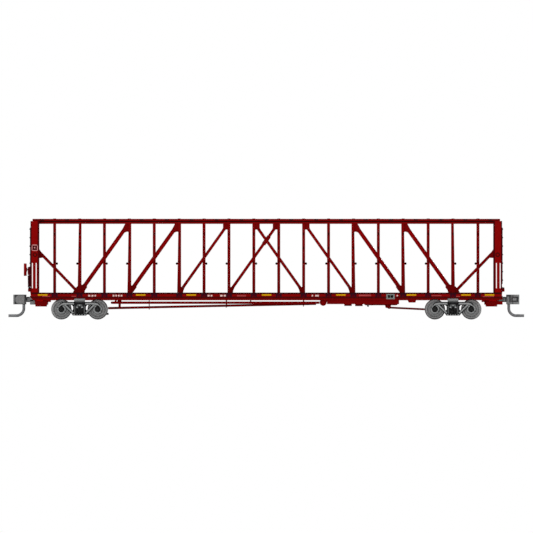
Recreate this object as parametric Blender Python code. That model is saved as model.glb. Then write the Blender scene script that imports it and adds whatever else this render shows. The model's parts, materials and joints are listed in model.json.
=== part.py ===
"""N scale (1:160) model of a centre-beam bulkhead flat car.

All sizes are in full-size inches, and INCH turns one of them into metres on the model. +X runs along the
car to its A end, the hand brake is on the B end at -X, +Z is up. The origin is under the middle of the car,
level with the bottom of the wheel flanges.
"""

import math

import bmesh
import bpy
from mathutils import Matrix, Vector

INCH = 0.0254 / 160.0
GAP = 0.3  # between pieces that touch on the real model
GLUE = 0.05  # between faces that are glued together
JOIN = 0.5  # how far shapes that become one body run into each other
ENDS = ((-1, "b"), (1, "a"))
SIDES = ((-1, "right"), (1, "left"))

# Stations along the car, from its middle.
POST_PITCH = 48.0
POST_COUNT = 18
TRUCK_CENTRE = 360.0
AXLE_OFFSET = 35.0
WEIGHT_BAY = 290.0
BULKHEAD_INNER = 437.6
BULKHEAD_OUTER = 454.6
CHORD_END = 450.7
CAR_END = 454.2
COUPLER_PIVOT = 430.0
HEAD_BACK = 462.6

# Heights above the bottom of the flanges.
AXLE_HEIGHT = 19.7
SILL_BOTTOM = 37.0
DECK_TOP = 51.5
PLINTH_TOP = 52.0
DECK_UNDERSIDE = 47.5
CHORD_BOTTOM = 184.3
CHORD_CAP_BOTTOM = 190.2
CHORD_TOP = 194.1
BULKHEAD_TOP = 189.9
COUPLER_HEIGHT = 38.65

# Across the car.
DECK_HALF_WIDTH = 57.0
PLINTH_HALF_WIDTH = 9.0
BULKHEAD_HALF_WIDTH = 56.0
CHORD_HALF_WIDTH = 8.0
POST_HALF_DEPTH = 7.5
GUSSET_HALF_DEPTH = 4.2
WHEEL_INNER_FACE = 23.8
WHEEL_WIDTH = 12.0
SIDE_FRAME = (38.0, 46.0)

# Round things.
TREAD_RADIUS = 18.0
FLANGE_RADIUS = 19.7
WHEEL_BORE = 2.8
AXLE_RADIUS = 2.4
RUNNING_CLEARANCE = 0.5
THICK_TUBE = 3.7
THIN_TUBE = 2.7
WHEEL_SIDES = 24
TUBE_SIDES = 8
PIN_SIDES = 12


# ---------------------------------------------------------------- shapes


def prism(outline, axis, low, high):
    """An outline pushed along one axis. Its two numbers belong to the two other axes, in x, y, z order."""
    place = {
        "x": lambda a, b, t: (t, a, b),
        "y": lambda a, b, t: (a, t, b),
        "z": lambda a, b, t: (a, b, t),
    }[axis]
    shape = bmesh.new()
    ends = [[shape.verts.new(place(a, b, t)) for a, b in outline] for t in (low, high)]
    for end in ends:
        shape.faces.new(end)
    for i in range(len(outline)):
        shape.faces.new((ends[0][i - 1], ends[0][i], ends[1][i], ends[1][i - 1]))
    bmesh.ops.recalc_face_normals(shape, faces=shape.faces)
    return shape


def box(x, y, z):
    """A block, from three (low, high) pairs."""
    corners = [(x[0], y[0]), (x[1], y[0]), (x[1], y[1]), (x[0], y[1])]
    return prism(corners, "z", z[0], z[1])


def rod(start, end, radius, sides=TUBE_SIDES):
    """A round bar between two points."""
    start = Vector(start)
    end = Vector(end)
    turn = (end - start).to_track_quat("Z", "Y").to_matrix().to_4x4()
    shape = bmesh.new()
    bmesh.ops.create_cone(
        shape,
        cap_ends=True,
        segments=sides,
        radius1=radius,
        radius2=radius,
        depth=(end - start).length,
        matrix=Matrix.Translation((start + end) / 2) @ turn,
    )
    return shape


def turned(profile, sides, centre, axis):
    """A profile of (radius, distance along the axis) points, spun round an axis through centre.

    A profile that starts and ends on the axis makes a solid piece, any other one a ring.
    """
    shape = bmesh.new()
    verts = [shape.verts.new((radius, 0, distance)) for radius, distance in profile]
    pairs = [(i - 1, i) for i in range(len(profile))]
    edges = [shape.edges.new((verts[i], verts[j])) for i, j in pairs if profile[i][0] or profile[j][0]]
    bmesh.ops.spin(
        shape,
        geom=verts + edges,
        cent=(0, 0, 0),
        axis=(0, 0, 1),
        angle=math.tau,
        steps=sides,
        use_merge=True,
    )
    bmesh.ops.remove_doubles(shape, verts=shape.verts, dist=1e-4)
    bmesh.ops.recalc_face_normals(shape, faces=shape.faces)
    turn = Vector(axis).to_track_quat("Z", "Y").to_matrix().to_4x4()
    bmesh.ops.transform(shape, matrix=Matrix.Translation(centre) @ turn, verts=shape.verts)
    return shape


def bent_wire(points, radius, sides=TUBE_SIDES):
    """A wire along a list of points, with closed ends."""
    curve = bpy.data.curves.new("wire", "CURVE")
    curve.dimensions = "3D"
    curve.bevel_depth = radius
    curve.bevel_resolution = sides // 2 - 2
    curve.use_fill_caps = True
    spline = curve.splines.new("POLY")
    spline.points.add(len(points) - 1)
    for point, place in zip(spline.points, points):
        point.co = (*place, 1)
    guide = bpy.data.objects.new("wire", curve)
    shape = bmesh.new()
    shape.from_mesh(guide.to_mesh())
    guide.to_mesh_clear()
    bpy.data.objects.remove(guide)
    bpy.data.curves.remove(curve)
    bmesh.ops.remove_doubles(shape, verts=shape.verts, dist=1e-4)
    bmesh.ops.recalc_face_normals(shape, faces=shape.faces)
    return shape


def corner_arc(centre, radius, start, end, steps):
    """Points round a corner in a plane, angles in degrees."""
    angles = [math.radians(start + (end - start) * i / steps) for i in range(steps + 1)]
    return [(centre[0] + radius * math.cos(a), centre[1] + radius * math.sin(a)) for a in angles]


def temporary(shape, collection):
    mesh = bpy.data.meshes.new("helper")
    shape.to_mesh(mesh)
    shape.free()
    helper = bpy.data.objects.new("helper", mesh)
    collection.objects.link(helper)
    return helper


def combined(first, others, operation):
    """One body from several shapes, by an exact Boolean. The helpers are removed again."""
    bench = bpy.data.collections.new("bench")
    tools = bpy.data.collections.new("tools")
    bpy.context.scene.collection.children.link(bench)
    bench.children.link(tools)
    base = temporary(first, bench)
    for other in others:
        temporary(other, tools)
    modifier = base.modifiers.new(operation, "BOOLEAN")
    modifier.operation = operation
    modifier.solver = "EXACT"
    modifier.operand_type = "COLLECTION"
    modifier.collection = tools
    evaluated = base.evaluated_get(bpy.context.evaluated_depsgraph_get())
    result = bmesh.new()
    result.from_mesh(evaluated.to_mesh())
    evaluated.to_mesh_clear()
    for helper in [base, *tools.objects]:
        mesh = helper.data
        bpy.data.objects.remove(helper)
        bpy.data.meshes.remove(mesh)
    bpy.data.collections.remove(tools)
    bpy.data.collections.remove(bench)
    bmesh.ops.remove_doubles(result, verts=result.verts, dist=1e-4)
    bmesh.ops.dissolve_limit(
        result, angle_limit=math.radians(0.5), verts=result.verts, edges=result.edges
    )
    return result


def fused(shapes):
    return combined(shapes[0], shapes[1:], "UNION")


def cut(shape, cutters):
    return combined(shape, cutters, "DIFFERENCE")


def mirrored(outline):
    return [(-a, b) for a, b in outline]


def facing(outline, end):
    """An outline drawn for the A end, or its mirror image at the B end."""
    return outline if end > 0 else mirrored(outline)


def span(end, near, far):
    """Two distances from the middle of the car, as a (low, high) pair on the A or the B side."""
    return tuple(sorted((end * near, end * far)))


def turned_to(shape, end):
    """A shape made for the A end, turned half round the car's middle for the B end."""
    if end < 0:
        half_turn = Matrix.Rotation(math.pi, 3, "Z")
        bmesh.ops.rotate(shape, cent=(0, 0, 0), matrix=half_turn, verts=shape.verts)
    return shape


def plastic(name, colour, roughness):
    return painted(name, colour, roughness, 0.0)


def painted(name, colour, roughness, metallic):
    material = bpy.data.materials.new(name)
    material.use_nodes = True
    shader = material.node_tree.nodes["Principled BSDF"]
    shader.inputs["Base Color"].default_value = (*colour, 1.0)
    shader.inputs["Roughness"].default_value = roughness
    shader.inputs["Metallic"].default_value = metallic
    return material


def pivot(name, place):
    """An empty on a joint's axis, which the moving pieces are parented to."""
    empty = bpy.data.objects.new(name, None)
    empty.location = Vector(place) * INCH
    bpy.context.scene.collection.objects.link(empty)
    return empty


def node(name, shape, material, parent=None, origin=(0, 0, 0)):
    """A finished piece. Its origin is its parent's place, or a point in full-size inches."""
    place = parent.location.copy() if parent else Vector(origin) * INCH
    bmesh.ops.scale(shape, vec=(INCH, INCH, INCH), verts=shape.verts)
    bmesh.ops.translate(shape, vec=-place, verts=shape.verts)
    mesh = bpy.data.meshes.new(name)
    shape.to_mesh(mesh)
    shape.free()
    mesh.materials.append(material)
    mesh.shade_smooth()
    mesh.set_sharp_from_angle(angle=math.radians(35))
    obj = bpy.data.objects.new(name, mesh)
    bpy.context.scene.collection.objects.link(obj)
    if parent:
        obj.parent = parent
    else:
        obj.location = place
    return obj


# ---------------------------------------------------------------- centre partition

TAPERED_POSTS = (-360.0, -264.0, -168.0, 168.0, 264.0, 360.0)
POST_WIDTH = 4.9
TAPERED_WIDTH = 7.6
TAPER = 2.3
FLANGE = 2.0
WEB = 2.2
TUBE_LEAN = 94.5  # how far a tube runs along the car while it climbs from the deck to the chord
CENTRE_POST_TUBE = -72.0
TUBE_FOOT_HEIGHT = 6.0  # where a tube starts above the deck, inside its gusset
END_TUBE = ((-435.0, 127.6), (-365.0, 54.8))
SPLICE_HALF_LENGTH = 9.5
SPLICE_HALF_WIDTH = 3.9
SPLICE_HALF_DEPTH = 3.6
CHORD_WEB = [(5.4, 187.9), (5.4, 191.0)]

# Gusset plates for the half of the car at -X, from a post's foot or from its top under the chord.
FOOT_OF_END_TUBE = [(0, 0), (-13.2, 0), (-10.6, 5.0), (-7.2, 9.0), (-4.7, 12.2), (0, 14.0)]
FOOT_OF_FIRST_TUBE = [
    (0, 0), (9.7, 0), (10.5, 4.5), (14.6, 9.9), (14.6, 12.3),
    (9.7, 16.7), (7.8, 17.1), (5.3, 15.1), (0, 16.3),
]
FOOT_OF_THICK_TUBE = [
    (0, 0), (6.7, 0), (12.4, 7.8), (14.4, 10.9), (12.6, 14.4), (9.5, 15.3), (5.0, 13.8), (0, 14.5),
]
FOOT_OF_THIN_TUBE = [(0, 0), (7.6, 0), (8.6, 4.6), (11.0, 10.3), (8.2, 12.4), (4.0, 10.8), (0, 11.0)]
TOP_OF_THICK_TUBE = [
    (0, 0), (-8.2, 0), (-13.4, -10.0), (-13.6, -12.9), (-9.9, -17.4), (-4.1, -15.2), (0, -16.8),
]
TOP_OF_THIN_TUBE = [
    (0, 0), (-11.5, 0), (-11.5, -8.0), (-13.2, -11.5), (-9.5, -13.3), (-5.1, -11.0), (0, -12.2),
]
BULKHEAD_GUSSET = [(-437.3, 135.0), (-428.9, 122.8), (-431.9, 119.3), (-437.3, 118.8)]


def post(x):
    """An upright I-section. The tapered ones lean in from the side away from the middle of the car."""
    foot = PLINTH_TOP + GLUE
    top = CHORD_BOTTOM + JOIN
    half = POST_WIDTH / 2
    outline = [(x - half, foot), (x + half, foot), (x + half, top), (x - half, top)]
    if x in TAPERED_POSTS:
        away = math.copysign(1, x)
        half = TAPERED_WIDTH / 2
        outline = [
            (x - away * half, foot),
            (x + away * half, foot),
            (x + away * (half - TAPER), top),
            (x - away * half, top),
        ]
    flanges = [
        prism(outline, "y", side * POST_HALF_DEPTH, side * (POST_HALF_DEPTH - FLANGE)) for side in (-1, 1)
    ]
    inner = POST_HALF_DEPTH - FLANGE / 2
    web = box((x - WEB / 2, x + WEB / 2), (-inner, inner), (foot, top))
    return [web, *flanges]


def slanted_tube(x, mirror, radius):
    """A tube from the foot of the post at x to the top of the second post towards the middle."""
    climb = CHORD_BOTTOM - DECK_TOP
    low = TUBE_FOOT_HEIGHT
    start = (mirror * (x + TUBE_LEAN * low / climb), 0, DECK_TOP + low)
    end = (mirror * (x + TUBE_LEAN), 0, CHORD_BOTTOM + JOIN)
    return rod(start, end, radius)


def end_tube(mirror):
    """The tube that falls from a bulkhead to the foot of the tapered post, with its upper plate."""
    start, end = [(mirror * x, 0, z) for x, z in END_TUBE]
    outline = [(mirror * x, z) for x, z in BULKHEAD_GUSSET]
    plate = prism(outline, "y", -GUSSET_HALF_DEPTH, GUSSET_HALF_DEPTH)
    return [rod(start, end, THIN_TUBE), plate]


def gusset(outline, x, z, mirror):
    """A plate at a post's foot or top, from an outline drawn round that point."""
    points = [(mirror * (x + a), z + b) for a, b in outline]
    return prism(points, "y", -GUSSET_HALF_DEPTH, GUSSET_HALF_DEPTH)


def chord():
    """The top rail between the bulkheads, and the wider cap that runs out over them."""
    web_foot = CHORD_WEB[0][1]
    lower = [(CHORD_HALF_WIDTH, CHORD_BOTTOM), (CHORD_HALF_WIDTH, web_foot), *CHORD_WEB]
    section = lower + mirrored(reversed(lower))
    inside = BULKHEAD_INNER - GAP
    rail = prism(section, "x", -inside, inside)
    across = (-CHORD_HALF_WIDTH, CHORD_HALF_WIDTH)
    cap = box((-CHORD_END, CHORD_END), across, (CHORD_CAP_BOTTOM, CHORD_TOP))
    return [rail, cap]


def splice_plate():
    """The longer plate where the two middle tubes cross."""
    climb = CHORD_BOTTOM - DECK_TOP
    along = Vector((TUBE_LEAN, climb)).normalized()
    across = Vector((-along.y, along.x))
    middle = Vector((0, DECK_TOP + climb * -CENTRE_POST_TUBE / TUBE_LEAN))
    ends = along * SPLICE_HALF_LENGTH
    edges = across * SPLICE_HALF_WIDTH
    corners = [(-1, -1), (1, -1), (1, 1), (-1, 1)]
    outline = [tuple(middle + ends * a + edges * b) for a, b in corners]
    return prism(outline, "y", -SPLICE_HALF_DEPTH, SPLICE_HALF_DEPTH)


def center_partition(material):
    """Chord, posts, tubes and gusset plates in one moulding."""
    shapes = chord()
    for i in range(POST_COUNT):
        shapes += post((i - (POST_COUNT - 1) / 2) * POST_PITCH)
    foot = PLINTH_TOP + GLUE
    top = CHORD_BOTTOM + JOIN
    for mirror in (1, -1):
        shapes += end_tube(mirror)
        shapes.append(gusset(FOOT_OF_END_TUBE, -360.0, foot, mirror))
        shapes.append(gusset(FOOT_OF_FIRST_TUBE, -360.0, foot, mirror))
        shapes.append(gusset(FOOT_OF_THICK_TUBE, -264.0, foot, mirror))
        for x in (-168.0, CENTRE_POST_TUBE):
            shapes.append(gusset(FOOT_OF_THIN_TUBE, x, foot, mirror))
            shapes.append(gusset(TOP_OF_THIN_TUBE, x + 2 * POST_PITCH, top, mirror))
            shapes.append(slanted_tube(x, mirror, THIN_TUBE))
        for x in (-360.0, -264.0):
            shapes.append(gusset(TOP_OF_THICK_TUBE, x + 2 * POST_PITCH, top, mirror))
            shapes.append(slanted_tube(x, mirror, THICK_TUBE))
    shapes.append(splice_plate())
    node("center_partition", fused(shapes), material)


# ---------------------------------------------------------------- deck and underframe

SILL_SECTION = [  # one side of the floor, from the top edge round under the sill to the inside
    (57.0, 51.5), (57.0, 50.3), (56.2, 50.3), (56.2, 43.1), (55.2, 43.1), (55.2, 40.8),
    (56.6, 40.8), (56.6, 37.0), (51.5, 37.0), (51.5, 38.9), (53.0, 38.9), (53.0, 47.5),
]
END_SILL = (449.0, 454.2)
SILL_CUTBACK = [(456.0, 43.9), (449.3, 37.0), (449.3, 35.0), (456.0, 35.0)]
JACKING_PAD = [(274.6, 32.7), (287.4, 32.7), (288.9, 37.4), (272.4, 37.4)]
PAD_ACROSS = (-56.4, -52.0)
SILL_LUG = ((415.0, 420.8), (52.0, 56.0), 33.7)
END_SILL_HALF_WIDTH = 53.5
END_SILL_HEIGHT = (44.1, 48.0)
SEAT_SETBACK = 0.5
WHEEL_NOTCH = FLANGE_RADIUS + 0.6
BOLSTER_NOTCH = (11.2, 41.1)


def deck(material):
    """The floor with its side sills, notched over the trucks, and the low plinth the partition stands on."""
    across = (-DECK_HALF_WIDTH - 1, DECK_HALF_WIDTH + 1)
    floor = prism(SILL_SECTION + mirrored(reversed(SILL_SECTION)), "x", -CAR_END, CAR_END)
    pad = prism(JACKING_PAD, "y", *PAD_ACROSS)
    plinth = (DECK_TOP - JOIN, PLINTH_TOP)
    strip = box((-CAR_END, CAR_END), (-PLINTH_HALF_WIDTH, PLINTH_HALF_WIDTH), plinth)
    seat_across = (-DECK_HALF_WIDTH + SEAT_SETBACK, DECK_HALF_WIDTH - SEAT_SETBACK)
    shapes = [floor, pad, strip]
    cutters = []
    for end, _ in ENDS:
        shapes.append(box(span(end, BULKHEAD_INNER - 0.4, CAR_END), seat_across, plinth))
        inside = (-END_SILL_HALF_WIDTH, END_SILL_HALF_WIDTH)
        shapes.append(box(span(end, *END_SILL), inside, END_SILL_HEIGHT))
        along, lug_across, bottom = SILL_LUG
        for side, _ in SIDES:
            shapes.append(box(span(end, *along), span(side, *lug_across), (bottom, SILL_BOTTOM + JOIN)))
        cutters.append(prism(facing(SILL_CUTBACK, end), "y", *across))
        centre = end * TRUCK_CENTRE
        half, top = BOLSTER_NOTCH
        cutters.append(box((centre - half, centre + half), across, (SILL_BOTTOM - 5.0, top)))
        for axle in (-AXLE_OFFSET, AXLE_OFFSET):
            start = (centre + axle, across[0], AXLE_HEIGHT)
            finish = (centre + axle, across[1], AXLE_HEIGHT)
            cutters.append(rod(start, finish, WHEEL_NOTCH, WHEEL_SIDES))
    node("deck", cut(fused(shapes), cutters), material)


PLATE_HALF_WIDTH = 49.0
WEIGHT_HALF_WIDTH = 46.0
MIDDLE_PLATE = (40.2, 42.2)
END_PLATE = (43.8, 47.2)
CENTRE_SILL_BOTTOM = 37.3
CENTRE_SILL_HALF_WIDTH = 6.5
CENTRE_SILL_END = 417.6
DRAFT_PLATE = (12.2, 15.2)
DRAFT_OUTLINE = [
    (446.3, 44.3), (446.3, 33.7), (444.9, 25.0), (423.2, 25.0), (421.0, 33.7), (418.0, 33.7), (418.0, 44.3),
]
BOLSTER_BOSS_RADIUS = 9.0
TRUCK_PIN_RADIUS = 3.3
SCREW_RADIUS = 1.2
SCREW_HOLE = 1.5
HANGERS = ((-225.7, 19.3), (-77.3, 22.9), (-29.9, 32.8), (71.7, 25.0))
HANGER_HALF = 0.9
HANGER_ACROSS = (-8.0, -6.2)
FIRST_HANGER = ((-283.4, -280.4), 22.2)
FIRST_HANGER_BLOCK = ((-287.0, -279.0), (-9.0, -6.0), 34.4)
PIPE_CLIP = ((-292.0, -288.4), (-41.0, -35.0))
CRADLE = ((117.0, 256.0), (-48.4, -46.4), 29.6)
BEARER_HALF = 1.6
BEARER_BOTTOM = 37.6
STEP_LENGTH = 3.0
END_PLATE_OUTER = 447.0
BODY_BOLSTER = ((-8.0, 8.0), (-36.0, 36.0), 41.5)
BOSS_HEIGHT = (29.3, 42.0)
PIPE_RADIUS = 1.85
PIPE_HEIGHT = 32.4
PIPE_ACROSS = -38.0


def underframe(material):
    """The frame under the floor: plates, centre sill, cross-bearers, bolsters, draft pockets and hangers."""
    across = (-PLATE_HALF_WIDTH, PLATE_HALF_WIDTH)
    narrow = (-CENTRE_SILL_HALF_WIDTH, CENTRE_SILL_HALF_WIDTH)
    under_middle = MIDDLE_PLATE[0] + JOIN
    under_end = END_PLATE[0] + JOIN
    sill_height = (CENTRE_SILL_BOTTOM, MIDDLE_PLATE[1] - JOIN)
    shapes = [box((-WEIGHT_BAY, WEIGHT_BAY), across, MIDDLE_PLATE)]
    shapes.append(box((-CENTRE_SILL_END, CENTRE_SILL_END), narrow, sill_height))
    for i in range(POST_COUNT):
        x = (i - (POST_COUNT - 1) / 2) * POST_PITCH
        if abs(x) < WEIGHT_BAY:
            shapes.append(box((x - BEARER_HALF, x + BEARER_HALF), across, (BEARER_BOTTOM, under_middle)))
    for x, bottom in HANGERS:
        shapes.append(box((x - HANGER_HALF, x + HANGER_HALF), HANGER_ACROSS, (bottom, under_middle)))
    along, bottom = FIRST_HANGER
    shapes.append(box(along, HANGER_ACROSS, (bottom, under_middle)))
    for along, aside, bottom in (FIRST_HANGER_BLOCK, CRADLE):
        shapes.append(box(along, aside, (bottom, under_middle)))
    shapes.append(box(*PIPE_CLIP, (PIPE_HEIGHT + PIPE_RADIUS + GAP, under_end)))
    cutters = []
    for end, _ in ENDS:
        step = span(end, WEIGHT_BAY - STEP_LENGTH, WEIGHT_BAY)
        shapes.append(box(step, across, (MIDDLE_PLATE[0], END_PLATE[1])))
        shapes.append(box(span(end, WEIGHT_BAY - JOIN, END_PLATE_OUTER), across, END_PLATE))
        shapes.append(box(span(end, WEIGHT_BAY - JOIN, CENTRE_SILL_END), narrow, (SILL_BOTTOM, under_end)))
        centre = end * TRUCK_CENTRE
        along, aside, bottom = BODY_BOLSTER
        shapes.append(box((centre + along[0], centre + along[1]), aside, (bottom, under_end)))
        low, high = BOSS_HEIGHT
        shapes.append(rod((centre, 0, low), (centre, 0, high), BOLSTER_BOSS_RADIUS, 16))
        bore = TRUCK_PIN_RADIUS + GAP
        cutters.append(rod((centre, 0, low - 1.3), (centre, 0, high + 0.5), bore, PIN_SIDES))
        for side, _ in SIDES:
            shapes.append(prism(facing(DRAFT_OUTLINE, end), "y", *span(side, *DRAFT_PLATE)))
        screw = end * COUPLER_PIVOT
        cutters.append(rod((screw, 0, 42.0), (screw, 0, 49.0), SCREW_HOLE, PIN_SIDES))
    node("underframe", cut(fused(shapes), cutters), material)


def weight(material):
    """The steel strip between the floor and the underframe."""
    length = WEIGHT_BAY - STEP_LENGTH - GAP
    height = (MIDDLE_PLATE[1] + GAP, DECK_UNDERSIDE - GAP)
    across = (-WEIGHT_HALF_WIDTH, WEIGHT_HALF_WIDTH)
    node("weight", box((-length, length), across, height), material)


# ---------------------------------------------------------------- bulkheads and end fittings

SLOTS = ((442.5, 444.7), (449.8, 452.0))
SLOT_HEIGHT = (60.3, 108.9)
PLATFORM = (454.9, 459.2, 61.6)  # inner face, outer edge, top
PLATFORM_HALF_WIDTH = 34.0
GIRTS = ((52.0, 58.0), (112.0, 116.0), (150.0, 154.0), (185.9, BULKHEAD_TOP))
RUNG_TOP = 174.3
RUNG_PITCH = 16.4
RUNG_COUNT = 7
GIRT_FACE = 448.4
SHEET_OUTER = 441.1
CORNER_POST_INNER = 52.5
CORNER_LIP = (49.6, 53.0)
CORNER_LIP_START = 450.9
INNER_POST = (22.5, 26.0)
INNER_POST_FACE = 449.3
LADDER = (28.4, 49.1)
LADDER_STILE = 1.6
STILE = (452.6, 455.6)
RUNG_RADIUS = 0.8


def bulkhead(end, letter, material):
    """A flat sheet with corner posts, two inner posts and level girts on its outer side."""
    height = (PLINTH_TOP + GLUE, BULKHEAD_TOP)
    wide = (-BULKHEAD_HALF_WIDTH, BULKHEAD_HALF_WIDTH)
    root = SHEET_OUTER - JOIN
    shapes = [box(span(end, BULKHEAD_INNER, SHEET_OUTER), wide, height)]
    for side, _ in SIDES:
        corner = span(side, CORNER_POST_INNER, BULKHEAD_HALF_WIDTH - 0.01)
        shapes.append(box(span(end, root, BULKHEAD_OUTER), corner, height))
        lip = span(end, CORNER_LIP_START, BULKHEAD_OUTER - 0.01)
        shapes.append(box(lip, span(side, *CORNER_LIP), height))
        shapes.append(box(span(end, root, INNER_POST_FACE), span(side, *INNER_POST), height))
    for low, high in GIRTS:
        low = max(low, height[0] + 0.01)
        shapes.append(box(span(end, root, GIRT_FACE), (-53.0, 53.0), (low, high - 0.01)))
    cutters = [box(span(end, *slot), (-58.0, 58.0), SLOT_HEIGHT) for slot in SLOTS]
    node(f"bulkhead_{letter}", cut(fused(shapes), cutters), material)


def ladder(end, letter, side, hand, material):
    """Seven rungs on two stiles, on the outer side of a bulkhead."""
    inner, outer = LADDER
    stile_height = (RUNG_TOP - RUNG_PITCH * RUNG_COUNT + 9.0, RUNG_TOP + 3.0)
    shapes = []
    for near in (inner, outer - LADDER_STILE):
        shapes.append(box(span(end, *STILE), span(side, near, near + LADDER_STILE), stile_height))
        for low, high in GIRTS[1:3]:
            foot = span(side, near + 0.01, near + LADDER_STILE - 0.01)
            shapes.append(box(span(end, GIRT_FACE + GAP, STILE[0] + 0.4), foot, (low + 1.0, high - 1.0)))
    x = end * STILE[1]
    for i in range(RUNG_COUNT):
        height = RUNG_TOP - RUNG_PITCH * i
        tips = [(x, side * across, height) for across in (inner - 0.2, outer + 0.2)]
        shapes.append(rod(*tips, RUNG_RADIUS, 6))
    node(f"ladder_{letter}_{hand}", fused(shapes), material)


def end_platform(end, letter, material):
    """The crossing step on the end, a thin tread on a bracket with a rounded foot."""
    foot = corner_arc((456.9, 56.1), 1.9, -90, 0, 4)
    inner, outer, top = PLATFORM
    outline = [(inner, top), (inner, 54.2), *foot, (458.8, 60.0), (outer, 60.0), (outer, top)]
    tread = prism(facing(outline, end), "y", -PLATFORM_HALF_WIDTH, PLATFORM_HALF_WIDTH)
    node(f"end_platform_{letter}", tread, material)


BRAKE_ACROSS = 20.0
BRAKE_WHEEL_HEIGHT = 96.1
BRAKE_SPOKES = 6
BRAKE_RIM = (10.0, 12.1)
BRAKE_CASE = [(-454.9, 102.5), (-460.0, 100.8), (-460.0, 86.6), (-454.9, 84.2)]
BRAKE_CASE_HALF_WIDTH = 5.0
CHAIN_ROD = (-457.6, 2.0, 62.0, 83.6)  # place along the car, radius, bottom, top
HUB_PROFILE = [
    (0, -464.6), (2.0, -464.6), (2.6, -463.6), (2.6, -460.5), (1.1, -460.5), (1.1, -457.6), (0, -457.6),
]


def brake_housing(material):
    """The gear case behind the hand-brake wheel, deep at the top and narrower below."""
    half = BRAKE_CASE_HALF_WIDTH
    case = prism(BRAKE_CASE, "y", BRAKE_ACROSS - half, BRAKE_ACROSS + half)
    place = (BRAKE_ACROSS, BRAKE_WHEEL_HEIGHT)
    bore = rod((-461.0, *place), (-457.2, *place), 1.6, PIN_SIDES)
    node("brake_housing", cut(case, [bore]), material)


def brake_rod_vertical(material):
    """The rod that stands in for the chain down to the end platform."""
    x, radius, bottom, top = CHAIN_ROD
    shape = rod((x, BRAKE_ACROSS, bottom), (x, BRAKE_ACROSS, top), radius)
    node("brake_rod_vertical", shape, material)


def brake_wheel(material):
    """Rim, six dished spokes, hub and the stub shaft that turns in the housing."""
    axle = pivot("brake_wheel_pivot", (-463.0, BRAKE_ACROSS, BRAKE_WHEEL_HEIGHT))
    centre = (0, BRAKE_ACROSS, BRAKE_WHEEL_HEIGHT)
    inner, outer = BRAKE_RIM
    rim = [
        (inner, -467.2), (outer - 0.5, -467.2), (outer, -466.4),
        (outer, -464.2), (outer - 0.5, -463.4), (inner, -463.4),
    ]
    shapes = [turned(HUB_PROFILE, PIN_SIDES, centre, (1, 0, 0))]
    shapes.append(turned(rim, WHEEL_SIDES, centre, (1, 0, 0)))
    for i in range(BRAKE_SPOKES):
        angle = math.tau * i / BRAKE_SPOKES
        across = math.cos(angle)
        up = math.sin(angle)
        start = (-462.2, BRAKE_ACROSS + 1.6 * across, BRAKE_WHEEL_HEIGHT + 1.6 * up)
        finish = (-464.6, BRAKE_ACROSS + 10.8 * across, BRAKE_WHEEL_HEIGHT + 10.8 * up)
        shapes.append(rod(start, finish, 0.9, 6))
    node("brake_wheel", fused(shapes), material, parent=axle)


# ---------------------------------------------------------------- brake gear under the floor

CYLINDER_PLACE = (109.7, 33.2)
CYLINDER_PROFILE = [
    (0, 22.0), (6.2, 22.0), (6.8, 23.5), (6.8, 47.0), (6.2, 49.0), (4.0, 49.0), (4.0, 50.6), (0, 50.6),
]
TANK_PLACE = (-38.0, 31.8)
TANK_PROFILE = [(0, 188.0), (3.0, 188.7), (4.4, 191.5), (4.4, 250.5), (3.0, 253.3), (0, 254.0)]
TANK_COCK = (196.0, 1.7, 24.5, 29.0)  # place along the car, radius, bottom, top
VALVE_BRACKET = ((150.5, 185.5), (-43.0, -32.0), (31.0, 36.3))
VALVE_PORTIONS = ((157.5, 26.2), (178.5, 25.8))
VALVE_ACROSS = -37.5
VALVE_RADIUS = 7.4
PIPE_BEND = 3.4
PIPE_ENDS = (-299.4, 102.6)
PIPE_TAIL = 9.0
ROD_ACROSS = -4.0
ROD_B = ((-305.0, 21.9), (96.0, 30.3), 1.75)
ROD_A = ((239.5, 22.9), (304.4, 19.5), 1.35)
LEVER_OUTLINE = [
    (227.0, 39.9), (227.0, 32.5), (230.2, 22.6), (233.5, 22.0),
    (235.5, 20.6), (239.0, 20.6), (240.5, 27.0), (240.5, 39.9),
]
LEVER_ACROSS = (-9.5, -7.0)


def brake_cylinder(material):
    """A short cylinder across the car, with a stepped cover on its outer face."""
    x, z = CYLINDER_PLACE
    node("brake_cylinder", turned(CYLINDER_PROFILE, 20, (x, 0, z), (0, -1, 0)), material)


def air_reservoir(material):
    """A tank along the car with domed ends and a drain cock below."""
    tank = turned(TANK_PROFILE, 16, (0, *TANK_PLACE), (1, 0, 0))
    x, radius, bottom, top = TANK_COCK
    across = TANK_PLACE[0]
    cock = rod((x, across, bottom), (x, across, top), radius, 6)
    node("air_reservoir", fused([tank, cock]), material)


def control_valve(material):
    """Two round valve portions hanging from one bracket."""
    shapes = [box(*VALVE_BRACKET)]
    top = VALVE_BRACKET[2][0] + 1.0
    for x, bottom in VALVE_PORTIONS:
        shapes.append(rod((x, VALVE_ACROSS, bottom), (x, VALVE_ACROSS, top), VALVE_RADIUS, 14))
    node("control_valve", fused(shapes), material)


def train_pipe(material):
    """The brake pipe along the right side, from a bend at the B truck to the cylinder."""
    left = PIPE_ENDS[0] + PIPE_RADIUS
    elbow = corner_arc((left + PIPE_BEND, PIPE_ACROSS + PIPE_BEND), PIPE_BEND, 180, 270, 4)
    points = [(left, PIPE_ACROSS + PIPE_TAIL, PIPE_HEIGHT)]
    points += [(x, y, PIPE_HEIGHT) for x, y in elbow]
    points.append((PIPE_ENDS[1], PIPE_ACROSS, PIPE_HEIGHT))
    node("train_pipe", bent_wire(points, PIPE_RADIUS), material)


def brake_rods(material):
    for letter, (start, end, radius) in (("b", ROD_B), ("a", ROD_A)):
        shape = rod((start[0], ROD_ACROSS, start[1]), (end[0], ROD_ACROSS, end[1]), radius)
        node(f"brake_rod_{letter}", shape, material)


def brake_lever(material):
    """The bell-crank plate that hangs under the tank."""
    node("brake_lever", prism(LEVER_OUTLINE, "y", *LEVER_ACROSS), material)


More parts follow.
